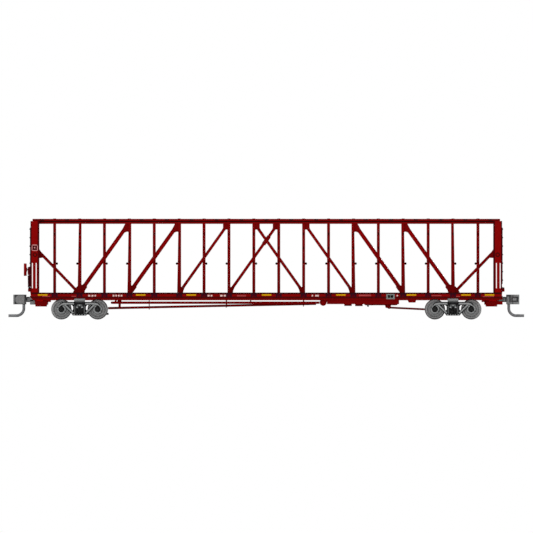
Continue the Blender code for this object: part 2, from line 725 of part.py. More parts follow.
# ---------------------------------------------------------------- couplers

SHANK = (33.9, 43.4)
BOX_FLOOR = (28.7, 33.2)
BOX_MOUTH = 446.5
BOX_LIP = 455.3
BOX_BACK = 420.2
BOX_HALF_WIDTH = 11.9
BOX_WALL = 2.4
PIVOT_POST = 2.6
SHANK_EYE = 5.2
HEAD_HALF_HEIGHT = 9.4
LUG_HALF_HEIGHT = 5.6
KNUCKLE_PIVOT = (HEAD_BACK + 9.5, -7.5)
KNUCKLE_PIN_RADIUS = 0.95
LUG_RADIUS = 3.9
TRIP_PIN_RADIUS = 2.6
TRIP_PIN_BACK = 467.4
TRIP_PIN_TAIL = 497.0
TRIP_PIN_HEIGHT = 7.5
TRIP_PIN_TOP = 42.0
TRIP_PIN_BEND = 14.0
HEAD_OUTLINE = [  # plan of the head at the A end, from the back round by the guard arm
    (462.6, 5.2), (466.0, 9.6), (473.5, 12.4), (484.0, 12.2), (487.6, 9.2), (484.6, 7.4), (478.0, 6.4),
    (473.6, 2.6), (471.8, -1.5), (471.8, -3.2), (469.2, -3.8), (467.6, -7.5), (466.2, -10.6),
    (463.6, -8.6), (462.6, -5.2),
]
SPRING_BACK = 423.0
SPRING_TIPS = 446.0
SPRING_HALF_WIDTH = 9.2
SPRING_LEAF = 0.6
SPRING_HEIGHT = (36.0, 41.0)
SHANK_HALF_WIDTH = 4.5
KNUCKLE_HOOK = [
    (476.6, -12.2), (483.0, -12.0), (486.4, -9.6), (487.8, -5.4), (487.2, -1.4), (484.4, -0.4),
    (482.6, -2.6), (481.4, -4.6), (476.6, -4.6),
]


def coupler_box(end, letter, material):
    """A tray with a pivot post, screwed up under the floor. Its lip shows under the shank."""
    height = (BOX_FLOOR[0], END_PLATE[0] - GAP)
    inner = BOX_HALF_WIDTH - BOX_WALL
    shapes = [box((BOX_BACK, BOX_LIP), (-inner - JOIN, inner + JOIN), BOX_FLOOR)]
    for side, _ in SIDES:
        shapes.append(box((BOX_BACK, BOX_MOUTH), span(side, inner, BOX_HALF_WIDTH), height))
    shapes.append(box((BOX_BACK - 0.01, BOX_BACK + BOX_WALL), (-inner - JOIN, inner + JOIN), height))
    shapes.append(rod((COUPLER_PIVOT, 0, 32.0), (COUPLER_PIVOT, 0, 43.4), PIVOT_POST, PIN_SIDES))
    hole = rod((COUPLER_PIVOT, 0, 28.0), (COUPLER_PIVOT, 0, 45.0), SCREW_HOLE, PIN_SIDES)
    node(f"coupler_box_{letter}", turned_to(cut(fused(shapes), [hole]), end), material)


def box_screw(end, letter, material):
    """The screw that holds the box up. Its head bears on the floor of the box."""
    under_box = BOX_FLOOR[0] - GAP
    profile = [
        (0, 26.9), (3.0, 26.9), (3.0, under_box), (SCREW_RADIUS, under_box), (SCREW_RADIUS, 46.6), (0, 46.6),
    ]
    shape = turned(profile, PIN_SIDES, (COUPLER_PIVOT, 0, 0), (0, 0, 1))
    node(f"box_screw_{letter}", turned_to(shape, end), material)


def centring_spring(end, letter, material):
    """A leaf bent to a U round the shank, whose fingers bring the coupler back to the middle."""
    outer = SPRING_HALF_WIDTH
    inner = SPRING_HALF_WIDTH - SPRING_LEAF
    bend = SPRING_BACK + SPRING_LEAF
    outline = [
        (SPRING_TIPS, -outer), (SPRING_BACK, -outer), (SPRING_BACK, outer), (SPRING_TIPS, outer),
        (SPRING_TIPS, inner), (bend, inner), (bend, -inner), (SPRING_TIPS, -inner),
    ]
    shape = prism(outline, "z", *SPRING_HEIGHT)
    node(f"centring_spring_{letter}", turned_to(shape, end), material)


def coupler_body(end, letter, material, swing):
    """Shank with its eye, head, guard arm and the two lugs that carry the knuckle."""
    eye = rod((COUPLER_PIVOT, 0, SHANK[0]), (COUPLER_PIVOT, 0, SHANK[1]), SHANK_EYE, 16)
    shank_across = (-SHANK_HALF_WIDTH, SHANK_HALF_WIDTH)
    shank = box((COUPLER_PIVOT, HEAD_BACK + 2.0), shank_across, (SHANK[0] + 0.01, SHANK[1] - 0.01))
    low = COUPLER_HEIGHT - HEAD_HALF_HEIGHT
    high = COUPLER_HEIGHT + HEAD_HALF_HEIGHT
    head = prism(HEAD_OUTLINE, "z", low, high)
    x, y = KNUCKLE_PIVOT
    shapes = [eye, shank, head]
    lug_low = COUPLER_HEIGHT - LUG_HALF_HEIGHT
    lug_high = COUPLER_HEIGHT + LUG_HALF_HEIGHT
    arm = [(-5.4, -2.6), (0, 0.3 - LUG_RADIUS), (0, LUG_RADIUS), (-1.0, 5.0), (-5.4, 3.8)]
    for bottom, top in ((low + 0.01, lug_low), (lug_high, high - 0.01)):
        shapes.append(rod((x, y, bottom), (x, y, top), LUG_RADIUS, 16))
        shapes.append(prism([(x + a, y + b) for a, b in arm], "z", bottom + 0.01, top - 0.01))
    pin_hole = KNUCKLE_PIN_RADIUS + 0.3
    trip_hole = TRIP_PIN_RADIUS + GAP
    cutters = [
        rod((COUPLER_PIVOT, 0, 30.0), (COUPLER_PIVOT, 0, 46.0), PIVOT_POST + RUNNING_CLEARANCE, PIN_SIDES),
        rod((x, y, low - 1.0), (x, y, high + 1.0), pin_hole, PIN_SIDES),
        rod((TRIP_PIN_BACK, 0, low - 1.0), (TRIP_PIN_BACK, 0, high - 4.0), trip_hole, PIN_SIDES),
        rod((x, y, lug_low + 0.01), (x, y, lug_high - 0.01), LUG_RADIUS + 0.4, 20),
    ]
    node(f"coupler_body_{letter}", turned_to(cut(fused(shapes), cutters), end), material, parent=swing)


def knuckle(end, letter, material, hinge):
    """A full-height hook on a thinner tail that turns between the lugs."""
    x, y = KNUCKLE_PIVOT
    low = COUPLER_HEIGHT - HEAD_HALF_HEIGHT
    high = COUPLER_HEIGHT + HEAD_HALF_HEIGHT
    tail_low = COUPLER_HEIGHT - LUG_HALF_HEIGHT + 0.5
    tail_high = COUPLER_HEIGHT + LUG_HALF_HEIGHT - 0.5
    tail = rod((x, y, tail_low), (x, y, tail_high), LUG_RADIUS - 0.2, 16)
    outline = [(0, 0.4 - LUG_RADIUS), (5.5, -4.5), (5.5, 2.6), (0, LUG_RADIUS - 0.4)]
    neck = prism([(x + a, y + b) for a, b in outline], "z", tail_low + 0.01, tail_high - 0.01)
    shapes = [tail, neck, prism(KNUCKLE_HOOK, "z", low, high)]
    bore = rod((x, y, low - 1.0), (x, y, high + 1.0), KNUCKLE_PIN_RADIUS + 0.3, PIN_SIDES)
    node(f"knuckle_{letter}", turned_to(cut(fused(shapes), [bore]), end), material, parent=hinge)


def knuckle_pin(end, letter, material, swing):
    x, y = KNUCKLE_PIVOT
    ends = (COUPLER_HEIGHT - HEAD_HALF_HEIGHT, COUPLER_HEIGHT + HEAD_HALF_HEIGHT)
    shape = rod((x, y, ends[0]), (x, y, ends[1]), KNUCKLE_PIN_RADIUS, PIN_SIDES)
    node(f"knuckle_pin_{letter}", turned_to(shape, end), material, parent=swing)


def trip_pin(end, letter, material, swing):
    """The curved steel wire under the head, which a magnet between the rails pulls aside."""
    centre = (TRIP_PIN_BACK + TRIP_PIN_BEND, TRIP_PIN_HEIGHT + TRIP_PIN_BEND)
    bend = corner_arc(centre, TRIP_PIN_BEND, 180, 270, 6)
    points = [(TRIP_PIN_BACK, 0, TRIP_PIN_TOP)]
    points += [(x, 0, z) for x, z in bend]
    points.append((TRIP_PIN_TAIL, 0, TRIP_PIN_HEIGHT))
    shape = turned_to(bent_wire(points, TRIP_PIN_RADIUS, 12), end)
    node(f"trip_pin_{letter}", shape, material, parent=swing)


def coupler(end, letter, materials):
    """The B end's box is grey, like the coupler. The A end's box is red."""
    grey = materials["grey"]
    steel = materials["steel"]
    swing = pivot(f"coupler_{letter}_pivot", (end * COUPLER_PIVOT, 0, COUPLER_HEIGHT))
    hinge = pivot(
        f"knuckle_{letter}_pivot", (end * KNUCKLE_PIVOT[0], end * KNUCKLE_PIVOT[1], COUPLER_HEIGHT)
    )
    coupler_box(end, letter, materials["red"] if end > 0 else grey)
    box_screw(end, letter, steel)
    centring_spring(end, letter, materials["bronze"])
    coupler_body(end, letter, grey, swing)
    knuckle(end, letter, grey, hinge)
    knuckle_pin(end, letter, steel, swing)
    trip_pin(end, letter, steel, swing)


# ---------------------------------------------------------------- trucks

SIDE_FRAME_HALF = [  # half of the side frame's outline, from its bottom middle round to its top middle
    (0, 7.5), (12.8, 7.5), (14.2, 9.8), (31.4, 24.6), (31.4, 20.0), (38.6, 20.0), (39.2, 27.6),
    (36.5, 31.2), (30.5, 33.9), (10.4, 33.9), (10.4, 40.5), (0, 40.5),
]
SIDE_FRAME_WINDOW = [(10.4, 16.9), (10.4, 26.8), (12.8, 29.4), (24.4, 29.4)]
SPRING_OPENING = [(-7.6, 10.8), (7.6, 10.8), (7.6, 28.6), (4.6, 31.6), (-4.6, 31.6), (-7.6, 28.6)]
JOURNAL_BOSS = 6.4
BEARING_CAP = 5.7
TRUCK_BOLSTER = (22.0, 29.0)
BRAKE_TAIL = [
    (8.0, 22.5), (8.0, 14.0), (12.0, 9.4), (56.0, 9.4), (56.0, 12.5), (13.4, 12.5), (11.0, 15.0),
    (11.0, 22.5),
]
BRAKE_TAIL_HALF = 1.5
BOLSTER_HALF_LENGTH = 7.2
BOLSTER_END = (37.0, 45.2)
BOLSTER_END_HALF = 8.0
BOLSTER_END_HEIGHT = (21.9, 32.2)
SPRING_PLACES = (-4.4, 0, 4.4)
SPRING_ACROSS = 41.6
COIL_RADIUS = 2.1
COIL_HEIGHT = (10.2, 22.6)


def truck_frame(end, letter, material, swivel):
    """One moulding: both side frames, the springs shown in them and the bolster between."""
    centre = end * TRUCK_CENTRE
    outline = SIDE_FRAME_HALF + mirrored(reversed(SIDE_FRAME_HALF[1:-1]))
    holes = [SPRING_OPENING, SIDE_FRAME_WINDOW, mirrored(SIDE_FRAME_WINDOW)]
    half = BOLSTER_HALF_LENGTH
    reach = BOLSTER_END[1]
    low, high = TRUCK_BOLSTER
    boss = rod((centre, 0, low + 0.01), (centre, 0, high - 0.01), BOLSTER_BOSS_RADIUS + 1.0, 16)
    shapes = [box((centre - half, centre + half), (-reach, reach), TRUCK_BOLSTER), boss]
    if letter == "b":
        tail = [(centre + x, z) for x, z in BRAKE_TAIL]
        shapes.append(prism(tail, "y", -BRAKE_TAIL_HALF, BRAKE_TAIL_HALF))
    for side, _ in SIDES:
        near, far = span(side, *SIDE_FRAME)
        plate = prism([(centre + x, z) for x, z in outline], "y", near, far)
        cutters = [prism([(centre + x, z) for x, z in hole], "y", near - 1, far + 1) for hole in holes]
        shapes.append(cut(plate, cutters))
        head = (centre - BOLSTER_END_HALF, centre + BOLSTER_END_HALF)
        shapes.append(box(head, span(side, *BOLSTER_END), BOLSTER_END_HEIGHT))
        across = side * SPRING_ACROSS
        for x in SPRING_PLACES:
            ends = [(centre + x, across, height) for height in COIL_HEIGHT]
            shapes.append(rod(*ends, COIL_RADIUS))
        for axle in (-AXLE_OFFSET, AXLE_OFFSET):
            ends = [(centre + axle, y, AXLE_HEIGHT) for y in (near + 0.01, far - 0.01)]
            shapes.append(rod(*ends, JOURNAL_BOSS, 16))
    bores = []
    for axle in (-AXLE_OFFSET, AXLE_OFFSET):
        ends = [(centre + axle, y, AXLE_HEIGHT) for y in (-60.0, 60.0)]
        bores.append(rod(*ends, AXLE_RADIUS + RUNNING_CLEARANCE, 16))
    pin_hole = TRUCK_PIN_RADIUS + RUNNING_CLEARANCE
    bores.append(rod((centre, 0, low - 2.0), (centre, 0, high + 2.0), pin_hole, PIN_SIDES))
    node(f"truck_frame_{letter}", cut(fused(shapes), bores), material, parent=swivel)


def truck_pin(end, letter, material):
    """The pin pushed up into the body bolster. The truck turns on it and rests on its head."""
    head = TRUCK_BOLSTER[0] - GAP
    profile = [
        (0, 19.6), (5.2, 19.6), (6.2, 20.6), (6.2, head),
        (TRUCK_PIN_RADIUS, head), (TRUCK_PIN_RADIUS, 41.0), (0, 41.8),
    ]
    shape = turned(profile, 16, (end * TRUCK_CENTRE, 0, 0), (0, 0, 1))
    node(f"truck_pin_{letter}", shape, material)


def wheel(name, x, side, material, parent):
    """A dished wheel with a finescale tread and flange, bored for the axle."""
    outer_face = WHEEL_INNER_FACE + WHEEL_WIDTH
    profile = [
        (WHEEL_BORE, WHEEL_INNER_FACE), (6.0, WHEEL_INNER_FACE), (6.6, 26.4), (14.6, 26.4),
        (15.6, WHEEL_INNER_FACE), (FLANGE_RADIUS - 0.7, WHEEL_INNER_FACE), (FLANGE_RADIUS, 25.2),
        (TREAD_RADIUS, 28.4),
        (TREAD_RADIUS, outer_face), (15.6, outer_face), (14.6, 32.6), (5.4, 33.4), (WHEEL_BORE, 36.4),
    ]
    node(name, turned(profile, WHEEL_SIDES, (x, 0, AXLE_HEIGHT), (0, side, 0)), material, parent=parent)


def axle(name, x, material, parent):
    """A bar that is thicker between the wheels than in the journals."""
    half = [(2.3, 48.9), (AXLE_RADIUS, 48.5), (AXLE_RADIUS, 36.9), (2.5, 36.9), (2.5, 22.8), (3.4, 22.8)]
    profile = [(0, 48.9), *half, *[(radius, -y) for radius, y in reversed(half)], (0, -48.9)]
    node(name, turned(profile, PIN_SIDES, (x, 0, AXLE_HEIGHT), (0, 1, 0)), material, parent=parent)


def bearing_cap(name, x, side, material, parent):
    """The black cap on the axle's end, outside the side frame. It turns with the axle."""
    inside = SIDE_FRAME[1] + 0.4
    bore = AXLE_RADIUS + GAP
    profile = [
        (bore, inside), (BEARING_CAP, inside), (BEARING_CAP, inside + 1.6), (BEARING_CAP - 1.0, inside + 3.4),
        (0, inside + 3.8), (0, inside + 2.9), (bore, inside + 2.9),
    ]
    node(name, turned(profile, 16, (x, 0, AXLE_HEIGHT), (0, side, 0)), material, parent=parent)


def truck(end, letter, materials):
    centre = end * TRUCK_CENTRE
    swivel = pivot(f"truck_{letter}_pivot", (centre, 0, TRUCK_BOLSTER[1]))
    truck_frame(end, letter, materials["grey"], swivel)
    truck_pin(end, letter, materials["black"])
    for number, offset in ((1, AXLE_OFFSET), (2, -AXLE_OFFSET)):
        x = centre + end * offset
        label = f"{letter}{number}"
        spindle = pivot(f"wheelset_{label}_pivot", (x, 0, AXLE_HEIGHT))
        axle(f"axle_{label}", x, materials["steel"], spindle)
        for side, hand in SIDES:
            wheel(f"wheel_{label}_{hand}", x, side, materials["grey"], spindle)
            bearing_cap(f"bearing_cap_{label}_{hand}", x, side, materials["black"], spindle)


# ---------------------------------------------------------------- the whole car


def make_materials():
    return {
        "red": plastic("red_plastic", (0.22, 0.0015, 0.0012), 0.5),
        "grey": plastic("grey_plastic", (0.19, 0.19, 0.19), 0.5),
        "black": plastic("black_plastic", (0.012, 0.012, 0.012), 0.45),
        "steel": painted("steel", (0.42, 0.41, 0.4), 0.35, 1.0),
        "bronze": painted("phosphor_bronze", (0.62, 0.36, 0.18), 0.35, 1.0),
    }


def main():
    for obj in list(bpy.data.objects):
        bpy.data.objects.remove(obj)
    materials = make_materials()
    red = materials["red"]
    deck(red)
    underframe(red)
    weight(materials["steel"])
    center_partition(red)
    for end, letter in ENDS:
        bulkhead(end, letter, red)
        end_platform(end, letter, red)
        for side, hand in SIDES:
            ladder(end, letter, side, hand, red)
        coupler(end, letter, materials)
        truck(end, letter, materials)
    brake_housing(red)
    brake_rod_vertical(red)
    brake_wheel(red)
    brake_cylinder(red)
    air_reservoir(red)
    control_valve(red)
    train_pipe(red)
    brake_rods(red)
    brake_lever(red)


main()
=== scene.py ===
"""Looks for the N scale centre-beam flat car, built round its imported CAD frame.

Sizes are in full-size inches, as on the real car, and IN turns one into metres on the model. X runs along the car
with the A end at +X, Y runs across it and Z is up. Places that the frame knows come from its boxes and joints.
"""

import json
import math

import bmesh
import bpy
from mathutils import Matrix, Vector


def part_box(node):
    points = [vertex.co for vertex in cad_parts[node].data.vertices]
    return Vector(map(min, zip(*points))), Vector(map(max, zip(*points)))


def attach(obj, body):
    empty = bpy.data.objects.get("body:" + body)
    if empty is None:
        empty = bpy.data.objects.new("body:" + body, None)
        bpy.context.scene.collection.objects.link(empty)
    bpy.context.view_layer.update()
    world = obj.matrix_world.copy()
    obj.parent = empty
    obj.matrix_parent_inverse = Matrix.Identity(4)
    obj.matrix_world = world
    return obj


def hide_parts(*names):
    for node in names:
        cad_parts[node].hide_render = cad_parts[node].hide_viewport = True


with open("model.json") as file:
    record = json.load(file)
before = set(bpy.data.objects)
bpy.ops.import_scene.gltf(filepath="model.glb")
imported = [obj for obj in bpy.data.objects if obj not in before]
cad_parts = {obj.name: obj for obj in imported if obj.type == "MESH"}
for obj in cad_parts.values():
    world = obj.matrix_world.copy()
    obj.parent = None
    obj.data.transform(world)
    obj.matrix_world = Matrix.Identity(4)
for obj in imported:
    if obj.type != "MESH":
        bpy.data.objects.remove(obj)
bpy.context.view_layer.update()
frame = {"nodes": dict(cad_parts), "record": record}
MODEL_SCALE = 160.0
IN = 0.0254 / MODEL_SCALE
ENDS = ((-1, "b"), (1, "a"))  # the sign of X and the end's letter
SIDES = ((-1, "right"), (1, "left"))  # the sign of Y and the hand, seen facing the A end
JOINTS = {joint["name"]: Vector(joint["pos_m"]) / IN for joint in frame["record"]["behaviour"]["joints"]}


def inches(name):
    """A CAD node's lowest and highest corners, in full-size inches."""
    low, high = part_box(name)
    return Vector(low) / IN, Vector(high) / IN


DECK_HIGH = inches("deck")[1]
TRUSS_LOW, TRUSS_HIGH = inches("center_partition")
BULKHEAD_LOW, BULKHEAD_HIGH = inches("bulkhead_a")
PLINTH = 0.5  # the deck's raised strip under the partition and the bulkheads
DECK_TOP = DECK_HIGH.z - PLINTH
TRUSS_FOOT = TRUSS_LOW.z - 0.2  # closes the gap between the partition and its plinth
WEB_FACE = DECK_HIGH.y - 0.8  # the recessed face of the side sill
POST_PITCH = 48.0
POSTS = [(i - 8.5) * POST_PITCH for i in range(18)]


# -------- shapes

SHARP_ANGLE = math.radians(32)
BEVEL_ANGLE = math.radians(40)


class Shape:
    """Closed forms added one by one to a mesh, in full-size inches."""

    def __init__(self):
        self.mesh = bmesh.new()

    def _close(self, faces):
        bmesh.ops.recalc_face_normals(self.mesh, faces=faces)

    def prism(self, outline, axis, low, high):
        """An outline in the two directions across an axis, drawn out along it."""
        place = {
            "x": lambda a, b, t: (t, a, b),
            "y": lambda a, b, t: (a, t, b),
            "z": lambda a, b, t: (a, b, t),
        }[axis]
        rings = [[self.mesh.verts.new(place(a, b, t)) for a, b in outline] for t in (low, high)]
        faces = [self.mesh.faces.new(ring) for ring in rings]
        for i in range(len(outline)):
            faces.append(self.mesh.faces.new((rings[0][i - 1], rings[0][i], rings[1][i], rings[1][i - 1])))
        self._close(faces)

    def block(self, x, y, z):
        """A box, from the (low, high) of each direction."""
        corners = [(x[0], y[0]), (x[1], y[0]), (x[1], y[1]), (x[0], y[1])]
        self.prism(corners, "z", z[0], z[1])

    def rows(self, table, end, *sides):
        """Boxes from a table of reaches along the car, across it and up, at one end of it and on the sides named."""
        for side in sides:
            for near, far, inner, outer, low, high in table:
                self.block(span(end, near, far), span(side, inner, outer), (low, high))
        return self

    def lathe(self, profile, centre, axis, sides=48):
        """A closed profile of (radius, distance along the axis), spun round an axis through centre."""
        turn = Vector(axis).to_track_quat("Z", "Y").to_matrix()
        centre = Vector(centre)
        rings = []
        for radius, distance in profile:
            if radius == 0:
                rings.append([self.mesh.verts.new(centre + turn @ Vector((0, 0, distance)))])
                continue
            angles = [math.tau * i / sides for i in range(sides)]
            points = [Vector((radius * math.cos(a), radius * math.sin(a), distance)) for a in angles]
            rings.append([self.mesh.verts.new(centre + turn @ point) for point in points])
        faces = []
        for ring, following in zip(rings, rings[1:] + rings[:1]):
            if len(ring) == 1 and len(following) == 1:
                continue
            for i in range(sides):
                j = (i + 1) % sides
                corners = [ring[i % len(ring)], ring[j % len(ring)]]
                corners += [following[j % len(following)], following[i % len(following)]]
                faces.append(self.mesh.faces.new(list(dict.fromkeys(corners))))
        self._close(faces)

    def bar(self, start, end, radius, sides=20):
        """A round bar between two points."""
        start = Vector(start)
        along = Vector(end) - start
        self.lathe(washer(0, radius, 0, along.length), start, along, sides)

    def wire(self, points, radius, sides=12):
        """A round wire along points, with flat ends."""
        points = [Vector(point) for point in points]
        ahead = (points[1] - points[0]).normalized()
        normal = ahead.orthogonal().normalized()
        rings = []
        for i, point in enumerate(points):
            before = points[max(i - 1, 0)]
            after = points[min(i + 1, len(points) - 1)]
            direction = (after - before).normalized()
            normal = (normal - direction * normal.dot(direction)).normalized()
            across = direction.cross(normal)
            angles = [math.tau * k / sides for k in range(sides)]
            offsets = [radius * (normal * math.cos(a) + across * math.sin(a)) for a in angles]
            rings.append([self.mesh.verts.new(point + offset) for offset in offsets])
        faces = [self.mesh.faces.new(rings[0]), self.mesh.faces.new(rings[-1])]
        for ring, following in zip(rings, rings[1:]):
            for i in range(sides):
                faces.append(self.mesh.faces.new((ring[i - 1], ring[i], following[i], following[i - 1])))
        self._close(faces)

    def piece(self, name, body, material, bevel=0.0, stands_for=None, slot=None):
        """The finished piece, riding on a CAD body. It may stand for a CAD node, which is then hidden."""
        bmesh.ops.scale(self.mesh, vec=(IN, IN, IN), verts=self.mesh.verts)
        mesh = bpy.data.meshes.new(name)
        self.mesh.to_mesh(mesh)
        self.mesh.free()
        mesh.materials.append(material)
        mesh.shade_smooth()
        mesh.set_sharp_from_angle(angle=SHARP_ANGLE)
        obj = bpy.data.objects.new(name, mesh)
        bpy.context.scene.collection.objects.link(obj)
        if bevel:
            modifier = obj.modifiers.new("Bevel", "BEVEL")
            modifier.width = bevel * IN
            modifier.segments = 2
            modifier.limit_method = "ANGLE"
            modifier.angle_limit = BEVEL_ANGLE
        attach(obj, body)
        if stands_for:
            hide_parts(stands_for)

    def car_piece(self, name, material, **options):
        """A finished piece of the car body."""
        self.piece(name, "car_body", material, slot="red_plastic", **options)

    def grey_piece(self, name, body, material, **options):
        """A finished piece of a truck, wheelset or coupler."""
        self.piece(name, body, material, slot="grey_plastic", **options)


def arc(centre, radius, start, end, steps):
    """Points round a circle, angles in degrees."""
    angles = [math.radians(start + (end - start) * i / steps) for i in range(steps + 1)]
    return [(centre[0] + radius * math.cos(a), centre[1] + radius * math.sin(a)) for a in angles]


def span(side, near, far):
    """The (low, high) of a stretch between two distances from the middle, on one side of it."""
    return tuple(sorted((side * near, side * far)))


def around(middle, half):
    return middle - half, middle + half


def moved(outline, x=0.0, mirror=1):
    """An outline at a place along the car, turned end for end where mirror is -1."""
    return [(x + mirror * a, b) for a, b in outline]


def washer(inner, outer, low, high):
    """The lathe profile of a plain ring, or of a disc where inner is 0."""
    return [(inner, low), (outer, low), (outer, high), (inner, high)]


# -------- materials

BROAD_SCALE, FINE_SCALE, GLOSS_SCALE, GRAIN_SCALE = 260.0, 2600.0, 1400.0, 9000.0
GRAIN_DEPTH = 0.00002


def linear(colour):
    """An sRGB colour in 0 to 255 as linear light."""
    values = [channel / 255.0 for channel in colour]
    return tuple(v / 12.92 if v <= 0.04045 else ((v + 0.055) / 1.055) ** 2.4 for v in values) + (1.0,)


class Nodes:
    """The shader nodes of a material or world."""

    def __init__(self, owner):
        owner.use_nodes = True
        self.tree = owner.node_tree

    def fill(self, node, inputs):
        """Sets a node's inputs to values, or links them to other nodes' outputs."""
        for key, value in inputs.items():
            if isinstance(value, bpy.types.NodeSocket):
                self.tree.links.new(value, node.inputs[key])
            else:
                node.inputs[key].default_value = value

    def add(self, kind, inputs=None, **settings):
        node = self.tree.nodes.new(f"ShaderNode{kind}")
        for name, value in settings.items():
            setattr(node, name, value)
        self.fill(node, inputs or {})
        return node

    def maths(self, operation, first, second=0.5):
        return self.add("Math", {0: first, 1: second}, operation=operation).outputs[0]


class Finish(Nodes):
    """A node material: a base colour with mottling, fine grain in the surface and uneven gloss."""

    def __init__(self, name, colour, roughness, metallic=0.0, mottle=0.08, grain=0.25, shine=0.012):
        self.material = bpy.data.materials.new(name)
        super().__init__(self.material)
        self.place = self.add("TexCoord").outputs["Object"]
        self.colour = self.add("RGB").outputs[0]
        self.colour.default_value = linear(colour)
        broad = self.ranged(self.noise(BROAD_SCALE, 3.0), 1.0 - mottle, 1.0 + mottle)
        fine = self.ranged(self.noise(FINE_SCALE, 2.0), 1.0 - mottle * 0.6, 1.0 + mottle * 0.6)
        shade = self.maths("MULTIPLY", broad, fine)
        self.mottled = self.add("VectorMath", {0: self.colour, "Scale": shade}, operation="SCALE")
        bump = {"Strength": grain, "Distance": GRAIN_DEPTH, "Height": self.noise(GRAIN_SCALE, 4.0)}
        shader = {
            "Base Color": self.mottled.outputs["Vector"],
            "Normal": self.add("Bump", bump).outputs["Normal"],
            "Roughness": self.ranged(self.noise(GLOSS_SCALE, 3.0), roughness - 0.07, roughness + 0.09),
            "Metallic": metallic,
            "Specular IOR Level": shine,
        }
        self.fill(self.tree.nodes["Principled BSDF"], shader)

    def noise(self, scale, detail):
        return self.add("TexNoise", {"Scale": scale, "Detail": detail, "Vector": self.place}).outputs["Fac"]

    def ranged(self, value, low, high, from_low=0.3, from_high=0.7):
        inputs = {"Value": value, "From Min": from_low, "From Max": from_high, "To Min": low, "To Max": high}
        return self.add("MapRange", inputs).outputs["Result"]

    def banded(self, axis, bands, facing=None):
        """Bands of colour along an axis, as (start in full-size inches, colour), on faces that look along facing.

        Both ends of the car share the bands.
        """
        folded = self.maths("ABSOLUTE", self.add("SeparateXYZ", {0: self.place}).outputs[axis])
        low, high = bands[0][0], bands[-1][0] + 1.0
        ramp = self.add("ValToRGB", {"Fac": self.ranged(folded, 0.0, 1.0, low * IN, high * IN)})
        ramp.color_ramp.interpolation = "CONSTANT"
        elements = ramp.color_ramp.elements
        while len(elements) < len(bands):
            elements.new(0.5)
        for element, (start, colour) in zip(elements, bands):
            element.position = (start - low) / (high - low)
            element.color = linear(colour)
        result = ramp.outputs["Color"]
        if facing is not None:
            normal = self.add("SeparateXYZ", {0: self.add("NewGeometry").outputs["Normal"]})
            factor = self.ranged(self.maths("ABSOLUTE", normal.outputs[facing]), 0.0, 1.0, 0.5, 0.6)
            mix = self.add("Mix", {"Factor": factor, "A": self.colour, "B": result}, data_type="RGBA")
            result = mix.outputs["Result"]
        self.fill(self.mottled, {0: result})
        return self


def paint(name, colour, roughness, **look):
    return Finish(name, colour, roughness, **look).material


RED = (134, 2, 2)
red_paint = paint("red_paint", RED, 0.45)
red_frame = paint("red_underframe", (126, 3, 4), 0.5)
red_truss = paint("red_truss", (120, 2, 3), 0.45)
red_tube = paint("red_tube", (138, 2, 3), 0.4)
red_dark = paint("red_shadowed", (66, 2, 8), 0.6)
# Near black red: painted shade in the chord's groove and behind the posts' slots, and the dark weld seams and bosses.
red_groove = paint("red_groove", (44, 10, 8), 0.7)
red_under = paint("red_tank", (98, 2, 4), 0.45)
# Brighter than the red paint: painted light on the coupler pockets' panels, which sit in shade under the deck.
red_painted_light = paint("red_pocket", (196, 3, 3), 0.45)
# Deep dark red for the ladders: painted shade, as if they stood in shadow.
red_ladder_painted_shade = paint("red_ladder_painted_shade", (40, 3, 8), 0.5)
lever_dark = paint("lever_dark", (26, 8, 14), 0.5)
winch_dark = paint("winch_dark", (52, 12, 26), 0.55)
housing_red = paint("red_gear_case", (98, 2, 14), 0.5)
winch_red = paint("red_ratchet", (84, 2, 18), 0.5)
# Up the deck's side faces: its red, with bands of painted shade below the sill's web (from 41.2 and 43.4 in) and along
# the sill's top edge (from 48.5 in).
DECK_PAINT_AND_SHADE_BANDS = [
    (30.0, (112, 1, 1)), (41.2, (84, 8, 9)), (43.4, (108, 4, 5)), (45.2, (136, 2, 2)), (48.5, (80, 4, 5)),
    (50.0, (52, 10, 12)),
]
# Along the bulkheads' side faces: bands of painted shade at the inner edge and at the outer edges, with the red
# between.
BULKHEAD_PAINT_AND_SHADE_BANDS = [(430.0, (72, 1, 4)), (440.8, RED), (452.6, (64, 1, 6)), (459.0, (64, 1, 6))]
deck_paint_and_shade = Finish("red_deck", (118, 3, 3), 0.45).banded(2, DECK_PAINT_AND_SHADE_BANDS, facing=1).material
bulkhead_paint_and_shade = Finish("red_bulkhead_and_painted_shade", RED, 0.45).banded(0, BULKHEAD_PAINT_AND_SHADE_BANDS, facing=1).material
platform_paint = Finish("platform", (112, 2, 4), 0.5).banded(2, [(50.0, (112, 2, 4)), (59.6, (16, 8, 8))]).material
acetal_grey = paint("grey_acetal", (150, 153, 153), 0.45, mottle=0.05, shine=0.15)
acetal_mid = paint("grey_acetal_shaded", (92, 94, 94), 0.5, mottle=0.06, shine=0.12)
# Near black grey: painted shade in the truck frames' recesses, round their ribs and under the bolster.
acetal_painted_shade = paint("grey_recess", (26, 26, 28), 0.6, mottle=0.08, shine=0.08)
wheel_grey = paint("grey_wheel", (152, 153, 153), 0.4, mottle=0.05, shine=0.15)
# Darker greys on the wheels: painted shade at the flange's edge and in the rings at the steps of the wheel's face.
wheel_edge = paint("grey_wheel_edge", (84, 84, 86), 0.5, mottle=0.05, shine=0.1)
wheel_line = paint("grey_wheel_line", (122, 123, 123), 0.5, mottle=0.05, shine=0.1)
coupler_grey = paint("grey_coupler", (126, 127, 127), 0.42, mottle=0.06, shine=0.15)
